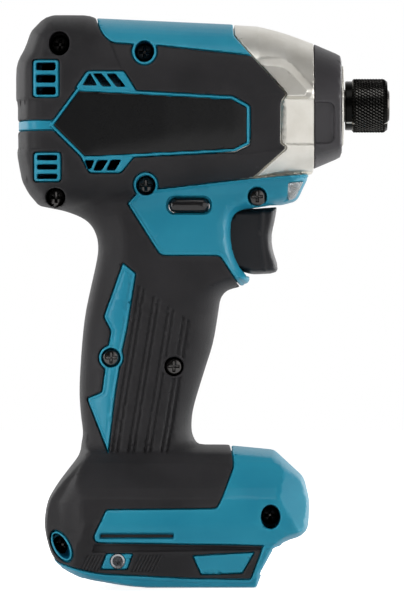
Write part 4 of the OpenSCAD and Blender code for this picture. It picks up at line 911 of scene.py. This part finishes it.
def control_ways(b):
    """Openings for the trigger, the direction lever and the hook's insert."""
    ends = np.maximum(TRIGGER_WAY_LOW - b.z, b.z - HEAD_BOTTOM - TRIGGER_WAY_RISE)
    trigger = most([b.v - TRIGGER_WAY_HALF, TRIGGER_WAY_BACK - b.x, ends])
    recess = np.maximum(b.rounded_box(*LEVER_AT, *LEVER_RECESS), RECESS_FLOOR - b.v)
    lever = np.minimum(b.rounded_box(*LEVER_AT, *LEVER_HALF) - LEVER_PLAY, recess)
    hook = np.maximum(b.disc(*HOOK_AT, HOOK_R + PLAY), HOOK_FLOOR - b.v)
    return least([trigger, lever, hook])


# Rooms inside: radius round the motor, the air way's middle and half size, and the lower room
MOTOR_ROOM = ([20.4, 20.5], [17.6, 24.2])
MOTOR_ROOM_BACK = 9.3
AIR_WAY = ((11.2, 3.4), (14, 2), (-17, 8))
LOWER_ROOM_TOP = -26
POST_WALL = 1.1


def inner_rooms(b, body):
    """Hollow of the shells round the motor and down the grip, apart from the screws' posts."""
    s = b.x - X_REAR
    h = b.z - AXIS_Z
    motor = np.maximum(np.sqrt(b.v ** 2 + h ** 2) - level(s, *MOTOR_ROOM), MOTOR_ROOM_BACK - s)
    air_way = most([np.abs(at - middle) - half for at, (middle, half) in zip((s, b.v, h), AIR_WAY)])
    lower = np.maximum(body + WALL, h - LOWER_ROOM_TOP)
    posts = least([b.disc(x, z, SCREW_HEAD_R + POST_WALL) for x, z, *_ in SCREWS])
    return most([least([motor, air_way, lower]), -posts, SLIDE_H + CEILING - b.z])


def shank_holes(b):
    """Clear holes for the screws' shanks."""
    return least([b.disc(x, z, SCREW_R + PLAY) for x, z, *_ in SCREWS])


# Room in front of the bore's screw, and a distance that is far from every hole
BORE_ROOM = 2
FAR = 9.0


def screw_holes(b):
    """Screw holes in the grip and in the shell, and the grip's lining of those that lie in it."""
    drift = BORE_DRIFT * np.clip(BORE_MOUTH - b.v, 0, None)
    bore = b.oval(BORE_AT[0] - drift, BORE_AT[1] + drift, *BORE_HALF, BORE_LEAN)
    in_soft = np.maximum(bore, BORE_FLOOR - b.v)
    in_shell = in_soft
    lining = FAR
    for x, z, seat, wide, tall, edge in SCREWS:
        hole = b.oval(x, z, wide, tall)
        if edge == "bore":
            hole = np.maximum(hole, b.v - BORE_FLOOR - BORE_ROOM)
        in_soft = np.minimum(in_soft, np.maximum(hole, seat - b.v))
        if edge == "grip":
            wider = np.maximum(hole - LINING - SEAM, seat - LINING - SEAM - b.v)
            in_shell = np.minimum(in_shell, wider)
            lining = np.minimum(lining, np.maximum(hole - LINING, seat - LINING - b.v))
        else:
            in_shell = np.minimum(in_shell, np.maximum(hole, seat - b.v))
    return in_soft, in_shell, lining


# Lens and plate: depths, play and rounding, and the gaps at the case and the split
LENS_INNER = 10.6
LENS_DROP = 0.15
LENS_PLAY = 0.12
PLATE_DROP = 0.4
PLATE_UNDER = 1.25
PLATE_RIM = 0.3
CASE_PLAY = 0.2
SPLIT_GAP = 0.03
PILOT_END = SCREW_L - 9


def make_housing():
    """Shells, soft grips, plates and lenses, with seats for screw heads on the right side only."""
    low = (X_REAR - GRID_MARGIN, -GRID_BELOW, -GRID_BELOW)
    high = (cad_high[0] / MM - CASE_REACH, FOOT_HALF + GRID_MARGIN, cad_high[2] / MM + GRID_MARGIN)
    b = Block(low, high, VOXEL)
    body = body_field(b)
    grilles, slots = vents(b)
    hard = hard_outline(b, grilles)
    lens = np.maximum(b.grip(LENS_OUTLINE), LENS_INNER - b.v)
    cuts = least([np.maximum(slots, SLOT_FLOOR - b.v), control_ways(b), battery_slide(b), lens])
    in_case = np.minimum(case_field(b) - CASE_PLAY, b.head(CASE_SEAM))
    split = SPLIT_GAP - b.v
    shell = most([hard_surface(b, body, hard), -inner_rooms(b, body), -cuts, -in_case, split])
    soft = most([soft_surface(b, body, hard), -cuts, -in_case, split])
    shanks = shank_holes(b)
    in_soft, in_shell, lining = screw_holes(b)
    lined_soft = np.minimum(soft, most([lining, body + PLAY, -in_case, split]))
    right = (most([shell, -in_shell, -shanks]), most([lined_soft, -in_soft, -shanks]))
    left = (np.maximum(shell, -np.maximum(shanks, b.v - PILOT_END)), soft)
    plate_edge = b.head(PLATE_OUTLINE) + PLATE_BORDER + PLAY
    plate = np.maximum(smooth_max(body + PLATE_DROP, plate_edge, PLATE_RIM), -(body + PLATE_UNDER))
    glass = np.maximum(body + LENS_DROP, lens + LENS_PLAY)
    for side, (a_shell, a_soft), mirrored in (("right", right, False), ("left", left, True)):
        for name, field, material, slot, node in (
            ("shell", a_shell, TEAL, "teal_plastic", "housing"),
            ("overmould", a_soft, CHARCOAL, "soft_grip", "grip"),
            ("name_plate", plate, PLATE, "plate_black", "plate")
        ):
            piece = mesh_of(f"{side}_{name}", field, b, material, mirrored)
            dress(piece, "housing", slot, f"{side}_{node}")
        piece = mesh_of(f"{side}_lens", glass, b, LENS, mirrored)
        dress(piece, "housing", "lens", *(["led_lenses"] if mirrored else []))


make_housing()


# Hammer case and bumper, with places along the head
NOSE_GRID = ((66, -30, -29), (112, 30, 29))
NOSE = 13.5
S_NOSE = 96
S_NOSE_END = 110.6
CASE_BORE = 8.7
HAMMER_ROOM = 19.6
S_HAMMER_ROOM_END = 96.5
S_BUMPER = 100.4
S_BUMPER_END = 109.9
BUMPER_PLACES = [S_BUMPER, 109.4, S_BUMPER_END]
BUMPER_TOP = (BUMPER_PLACES, [20.9, 17.1, 16.3])
BUMPER_HALF = (BUMPER_PLACES, [22.4, 18.9, 17.9])
BUMPER_SCALE = 19
BUMPER_GAP = 0.12
BUMPER_EDGE = 1.0

# Band in the case's side, groove along its seam, and pocket in the bumper's side
BAND_TOP = 1.6
BAND_LOW = -13.4
S_BAND = 70
BAND_DEPTH = 0.55
BAND_EDGE = 0.6
SEAM_IN = 0.1
SEAM_HALF = 0.36
SEAM_DEPTH = 1.1
POCKET_AT = (X_REAR + 97.5, AXIS_Z - 6.2)
POCKET_HALF = (9.6, 6.8, 2.2)
POCKET_DEPTH = 0.9
POCKET_EDGE = 0.7


def make_nose():
    b = block_at(X_REAR, AXIS_Z, NOSE_GRID)
    s = b.x - X_REAR
    h = b.z - AXIS_Z
    out = np.abs(b.v)
    radius = np.sqrt(b.v ** 2 + h ** 2)
    form = case_field(b)
    band = most([h - BAND_TOP, BAND_LOW - h, S_BAND - s, level(s, *CASE_HALF) - BAND_DEPTH - out])
    case = smooth_max(form, -band, BAND_EDGE)
    case = most([case, s - S_BUMPER, -np.maximum(radius - HAMMER_ROOM, s - S_HAMMER_ROOM_END)])
    case = np.maximum(case, CASE_BORE - radius)
    seam = b.head(CASE_SEAM)
    case = np.maximum(case, -np.maximum(np.abs(seam + SEAM_IN) - SEAM_HALF, -SEAM_DEPTH - form))
    nose = most([radius - NOSE, s - S_NOSE_END, CASE_BORE - radius, S_NOSE - s])
    piece = mesh_of("cast_case", np.minimum(case, nose), b, CASE)
    dress(piece, "housing", "case_metal", "hammer_case")

    half = level(s, *BUMPER_HALF)
    pocket = np.maximum(b.rounded_box(*POCKET_AT, *POCKET_HALF), half - POCKET_DEPTH - out)
    bumper = (bulge(b, half, level(s, *BUMPER_TOP), *BUMPER_FLAT) - 1) * BUMPER_SCALE
    bumper = smooth_max(bumper, -pocket, POCKET_EDGE)
    bumper = smooth_max(bumper, s - S_BUMPER_END, BUMPER_EDGE)
    bumper = most([bumper, S_BUMPER + BUMPER_GAP - s, NOSE + PLAY - radius])
    piece = mesh_of("nose_bumper", bumper, b, BUMPER)
    dress(piece, "housing", "bumper_rubber", "case_bumper")


make_nose()


# Trigger with a rounded finger face and a hollow back
TRIGGER_GRID = ((20.5, -11, -23), (46, 11, 3.5))
TRIGGER_HALF = 9.5
TRIGGER_ROUNDING = 2.2
TRIGGER_POWER = 2.2
TRIGGER_DROP = 0.2
TRIGGER_BACK = X_GRIP + 21.6
RIDGE = 0.35
RIDGE_FADE = ([0.2, 0.9], [1, 0])
RIDGE_OUT = ([6, 8], [0, 1])
HOLLOW_HALF = 7.5
HOLLOW_FRONT = 28.6
HOLLOW_TOP = -4
HOLLOW_LOW = HEAD_BOTTOM - 17.4


def make_trigger():
    b = block_at(X_GRIP, HEAD_BOTTOM, TRIGGER_GRID)
    region = b.grip(TRIGGER_OUTLINE)
    face = b.grip(FINGER_FACE)
    out = np.abs(b.v)
    form = inflate(out, region, TRIGGER_HALF, TRIGGER_ROUNDING, TRIGGER_POWER)
    ridge = RIDGE * level(np.abs(face), *RIDGE_FADE) * level(out, *RIDGE_OUT)
    hollow = most([out - HOLLOW_HALF, b.x - X_GRIP - HOLLOW_FRONT, b.z - HEAD_BOTTOM - HOLLOW_TOP,
                   HOLLOW_LOW - b.z])
    trigger = most([form + TRIGGER_DROP - ridge, -hollow, TRIGGER_BACK - b.x])
    dress(mesh_of("finger_trigger", trigger, b, BLACK), "trigger", "black_plastic", "trigger")


make_trigger()


# Direction lever with rounded ends
LEVER_OUT = 17.9
LEVER_EDGE = 2.2
LEVER_GRID = ((-8, -LEVER_OUT - 1, -3.5), (8, LEVER_OUT + 1, 3.5))


def make_lever():
    b = block_at(*LEVER_AT, LEVER_GRID)
    side = b.rounded_box(*LEVER_AT, *LEVER_HALF)
    form = smooth_max(side, np.abs(b.v) - LEVER_OUT, LEVER_EDGE)
    piece = mesh_of("selector_button", form, b, GLOSS_BLACK)
    dress(piece, "direction_lever", "black_plastic", "direction_lever")


make_lever()


# Meshes from rings of points
TURNED_SHARP = math.radians(32)


def turned(name, shapes, material):
    """Mesh of rings [ring, around, 3] in millimetres, capped or else closed on themselves."""
    points, faces = [], []
    for rings, capped in shapes:
        count, around = rings.shape[:2]
        index = np.arange(count * around).reshape(count, around) + sum(len(p) for p in points)
        rows = index[:-1] if capped else index
        after = index[1:] if capped else np.roll(index, -1, axis=0)
        quads = [rows, after, np.roll(after, -1, axis=1), np.roll(rows, -1, axis=1)]
        faces += np.stack(quads, axis=-1).reshape(-1, 4).tolist()
        if capped:
            faces += [index[0].tolist(), index[-1, ::-1].tolist()]
        points.append(rings.reshape(-1, 3) * MM)
    mesh = bpy.data.meshes.new(name)
    mesh.from_pydata(np.concatenate(points).tolist(), [], faces)
    mesh.polygons.foreach_set("use_smooth", np.ones(len(faces), bool))
    mesh.update()
    mesh.set_sharp_from_angle(angle=TURNED_SHARP)
    return linked(name, mesh, material)


def revolved(profile, around):
    """Radii, distances along the axis and angles of a profile turned round its axis."""
    profile = np.array(profile, float)
    angle = np.linspace(0, 2 * math.pi, around, endpoint=False)[None, :]
    return profile[:, :1] + 0 * angle, profile[:, 1:] + 0 * angle, angle + 0 * profile[:, :1]


def facing_out(radius, away, angle, x, z, side=-1):
    """Rings of a turned shape whose axis points out of the tool's side."""
    across, up = radius * np.cos(angle), radius * np.sin(angle)
    return np.stack([x + across, side * away, z - side * up], axis=-1)


def facing_front(radius, x, angle, y, z):
    """Rings of a turned shape whose axis points along the tool."""
    return np.stack([x, y + radius * np.cos(angle), z + radius * np.sin(angle)], axis=-1)


# Pan head screws with a cross recess
AXIS_R = 0.05
DOME_R = 2.4
DOME_FALL = 0.06
DOME_RINGS = 22
RIM_R = 3.06
SHANK_R = SCREW_R - 0.05
SCREW_AROUND = 80
SEAT_GAP = 0.06
RECESS_ARM = 0.5
RECESS_REACH = 1.9
RECESS_DEPTH = 1.5
RECESS_WALL = 0.16


def make_screws():
    top = SCREW_HEAD_H
    head = [(r, top - DOME_FALL * r * r) for r in np.linspace(AXIS_R, DOME_R, DOME_RINGS)]
    head += [(2.75, top - 0.62), (2.98, top - 0.95), (RIM_R, top - 1.4), (RIM_R, 0.1)]
    head += [(SHANK_R, 0.08), (SHANK_R, 0.6 - SCREW_L), (AXIS_R, -SCREW_L - 0.3)]
    radius, away, angle = revolved(head, SCREW_AROUND)
    across = radius * np.cos(angle)
    along = radius * np.sin(angle)
    arm = np.minimum(np.abs(across), np.abs(along))
    wall = np.minimum(RECESS_ARM - arm, RECESS_REACH - radius)
    sunk = RECESS_DEPTH * np.clip(wall / RECESS_WALL, 0, 1) * np.clip(1.15 - 0.35 * radius, 0, 1)
    away = np.where(away > 1, away - sunk, away)
    shapes = []
    for x, z, seat, *_ in SCREWS:
        rings = facing_out(radius, seat + SEAT_GAP + away, angle, x, z)
        shapes.append((rings[::-1], True))
    dress(turned("pan_screws", shapes, SCREW_BLACK), "housing", "black_oxide", "housing_screws")


make_screws()


# Threaded inserts for the belt hook
THREAD_R = 1.75
THREAD_DEPTH = 0.18
THREAD_RINGS = 7
INSERT_AROUND = 40


def make_inserts():
    inner = [(THREAD_R + THREAD_DEPTH * (k % 2), 1.5 + 0.25 * k) for k in range(THREAD_RINGS)]
    rim = [(1.95, 3.05), (2.2, 3.2), (HOOK_R - 0.15, 3.2), (HOOK_R, 3.05)]
    cup = [(AXIS_R, 0.3), *inner, *rim, (HOOK_R, 0.15), (AXIS_R, 0.1)]
    radius, away, angle = revolved(cup, INSERT_AROUND)
    cups = [facing_out(radius, HOOK_FLOOR + away, angle, *HOOK_AT, side) for side in (-1, 1)]
    shapes = [(rings, True) for rings in cups]
    dress(turned("belt_hook_inserts", shapes, STEEL), "housing", "steel", "hook_inserts")


make_inserts()


# Knurled sleeve, with places along the head, and the land that its spring presses on
S_SLEEVE = 111.2
S_SLEEVE_END = 125.4
S_LAND = 118.5
LAND_R = 5.8
SLEEVE_INNER = 6.8
MOUTH_R = 7.9
SLEEVE_R = 9.1
KNURL_COUNT = 50
KNURL_STEPS = 6
KNURL_LENGTH = 1.9
KNURL_DEPTH = 0.42
KNURL_STEEPNESS = 1.3


def make_sleeve():
    collar = [(SLEEVE_INNER, 0), (8.1, 0), (8.3, 0.3), (8.3, 2.2), (8.7, 2.5)]
    profile = [(r, S_SLEEVE + away) for r, away in collar]
    knurled = np.arange(S_SLEEVE + 2.9, S_SLEEVE_END - 1.0, KNURL_LENGTH / KNURL_STEPS)
    profile += [(SLEEVE_R, s) for s in knurled]
    profile += [(8.5, S_SLEEVE_END - 0.5), (8.2, S_SLEEVE_END), (MOUTH_R, S_SLEEVE_END)]
    profile += [(MOUTH_R, S_LAND), (LAND_R, S_LAND), (LAND_R, 117.2), (SLEEVE_INNER, 116.5)]
    radius, place, angle = revolved(profile, KNURL_COUNT * KNURL_STEPS)
    turn = KNURL_COUNT * angle / (2 * math.pi)
    run = (place - knurled[0]) / KNURL_LENGTH
    one = np.abs(np.mod(turn + run, 1) - 0.5) * 2
    two = np.abs(np.mod(turn - run, 1) - 0.5) * 2
    cut = np.clip(np.minimum(1 - one, 1 - two) * KNURL_STEEPNESS, 0, 1)
    on_knurl = np.abs(radius - SLEEVE_R) < 1e-6
    radius = np.where(on_knurl, radius - KNURL_DEPTH * (1 - cut), radius)
    rings = facing_front(radius, X_REAR + place, angle, 0, AXIS_Z)
    dress(turned("knurled_sleeve", [(rings, False)], KNURLED), "sleeve", "black_oxide", "sleeve")


make_sleeve()


# Coil springs: node, body, joint, wire, turns, whether the front end is the fixed one, and the
# share of the length that is left at the joint's limit
SPRINGS = {
    "mainspring": ("hammer_spring", "spindle", "hammer_retreat", 2.2, 2.4, False, 0.57),
    "collar_spring": ("sleeve_spring", "anvil", "sleeve_slide", 0.6, 3, True, 0.34),
    "return_spring": ("trigger_spring", "housing", "trigger_pull", 0.8, 5, False, 0.57)
}
COIL_STEPS = 36
WIRE_SIDES = 12


def make_spring(name, node, body, joint, wire, turns, front_fixed, keep):
    low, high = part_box(node)
    middle = (low + high) / 2 / MM
    length = (high.x - low.x) / MM - wire
    share = np.linspace(0, 1, int(turns * COIL_STEPS) + 1)[:, None]
    angle = 2 * math.pi * turns * share
    side = np.linspace(0, 2 * math.pi, WIRE_SIDES, endpoint=False)[None, :]
    radius = (high.y - low.y) / MM / 2 - wire / 2 + wire / 2 * np.cos(side)
    x = middle.x + length * (share - 0.5) + wire / 2 * np.sin(side)
    rings = facing_front(radius, x, angle, middle.y, middle.z)
    piece = dress(turned(name, [(rings, True)], STEEL), body, "steel", node)
    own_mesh(piece)


for spring, what in SPRINGS.items():
    make_spring(spring, *what)

# Finishes of the CAD pieces that stay
FINISHES = {
    "black_plastic": BLACK, "black_oxide": DARK_STEEL, "steel": STEEL, "bronze": BRONZE,
    "brass": BRASS, "copper": COPPER, "lens": LENS, "circuit_board": BOARD, "wire_cover": BUMPER,
    "bumper_rubber": BUMPER, "teal_plastic": TEAL, "soft_grip": CHARCOAL, "plate_black": PLATE,
    "case_metal": CASE
}
for part in frame["record"]["subparts"]:
    mesh = nodes[part["node"]].data
    mesh.materials.clear()
    mesh.materials.append(FINISHES[part["material_slot"]])


# Studio: pale floor, surroundings that are dim on the camera's side, and soft lamps
WHITE = (1, 1, 1)
WORLD_FRONT = 0.06
WORLD_BACK = 0.45
WORLD_TURN = -0.2
FLOOR_COLOUR = (0.85, 0.85, 0.85)
FLOOR_ROUGHNESS = 0.9
FLOOR_GLOW = 0.88
FLOOR_MIRRORED = 0.4
FLOOR_HALF = 3.0
FLOOR_GAP = 0.0005
LAMP_AWAY = 1.4
LAMP_SIZE = 0.8
LAMP_AIM = Vector((0, 0, 0.1))

# Lamps: degrees to the right of the camera, degrees up, watts
LAMPS = {
    "left_front": (-65, 10, 7), "left_high": (-70, 42, 3), "left_back": (-140, 8, 2),
    "front_high": (0, 60, 4.5), "right_front": (28, 10, 2.6), "right": (95, 8, 11),
    "right_back": (140, 8, 4)
}


def make_world():
    """White to the camera and, behind the object, to mirrors and glass too."""
    world = bpy.data.worlds.new("studio")
    scene.world = world
    n = Nodes(world)
    rays = n.add("LightPath", {})
    way = n.add("SeparateXYZ", {"Vector": n.add("TexCoord", {})["Generated"]})
    mirrored = n.sum(rays["Is Glossy Ray"], rays["Is Transmission Ray"])
    behind = n.span(mirrored, 0, 1, WORLD_BACK, 1)
    strength = n.span(way["Y"], WORLD_TURN, 1, WORLD_FRONT, behind, "SMOOTHSTEP")
    lit = n.tree.nodes["Background"]
    n.fill(lit, {"Color": WHITE, "Strength": strength})
    white = n.add("Background", {"Color": WHITE})
    join = n.add("MixShader", {"Fac": rays["Is Camera Ray"], 1: lit.outputs[0], 2: white[0]})
    n.fill(n.tree.nodes["World Output"], {"Surface": join[0]})


def make_floor():
    """Pale floor that shows white round the object's shadow."""
    mesh = bpy.data.meshes.new("floor")
    corners = [(x * FLOOR_HALF, y * FLOOR_HALF, 0) for x, y in ((-1, -1), (1, -1), (1, 1), (-1, 1))]
    mesh.from_pydata(corners, [], [(0, 1, 2, 3)])
    material = bpy.data.materials.new("pale floor")
    n = Nodes(material)
    rays = n.add("LightPath", {})
    mirrored = n.sum(rays["Is Glossy Ray"], rays["Is Transmission Ray"])
    glow = n.span(mirrored, 0, 1, 0, FLOOR_MIRRORED)
    glow = n.span(rays["Is Camera Ray"], 0, 1, glow, FLOOR_GLOW)
    n.shade({
        "Base Color": FLOOR_COLOUR,
        "Roughness": FLOOR_ROUGHNESS,
        "Emission Color": WHITE,
        "Emission Strength": glow
    })
    floor = linked("floor", mesh, material)
    floor.location.z = -FLOOR_GAP


def make_lamps():
    for name, (turn, rise, power) in LAMPS.items():
        data = bpy.data.lights.new(name, "AREA")
        data.size = LAMP_SIZE
        data.energy = power
        turn, rise = math.radians(turn), math.radians(rise)
        flat = math.cos(rise)
        way = Vector((flat * math.sin(turn), -flat * math.cos(turn), math.sin(rise)))
        lamp = bpy.data.objects.new(name, data)
        lamp.location = LAMP_AIM + LAMP_AWAY * way
        lamp.rotation_euler = way.to_track_quat("Z", "Y").to_euler()
        scene.collection.objects.link(lamp)


make_world()
make_floor()
make_lamps()
scene.view_settings.view_transform = "Standard"
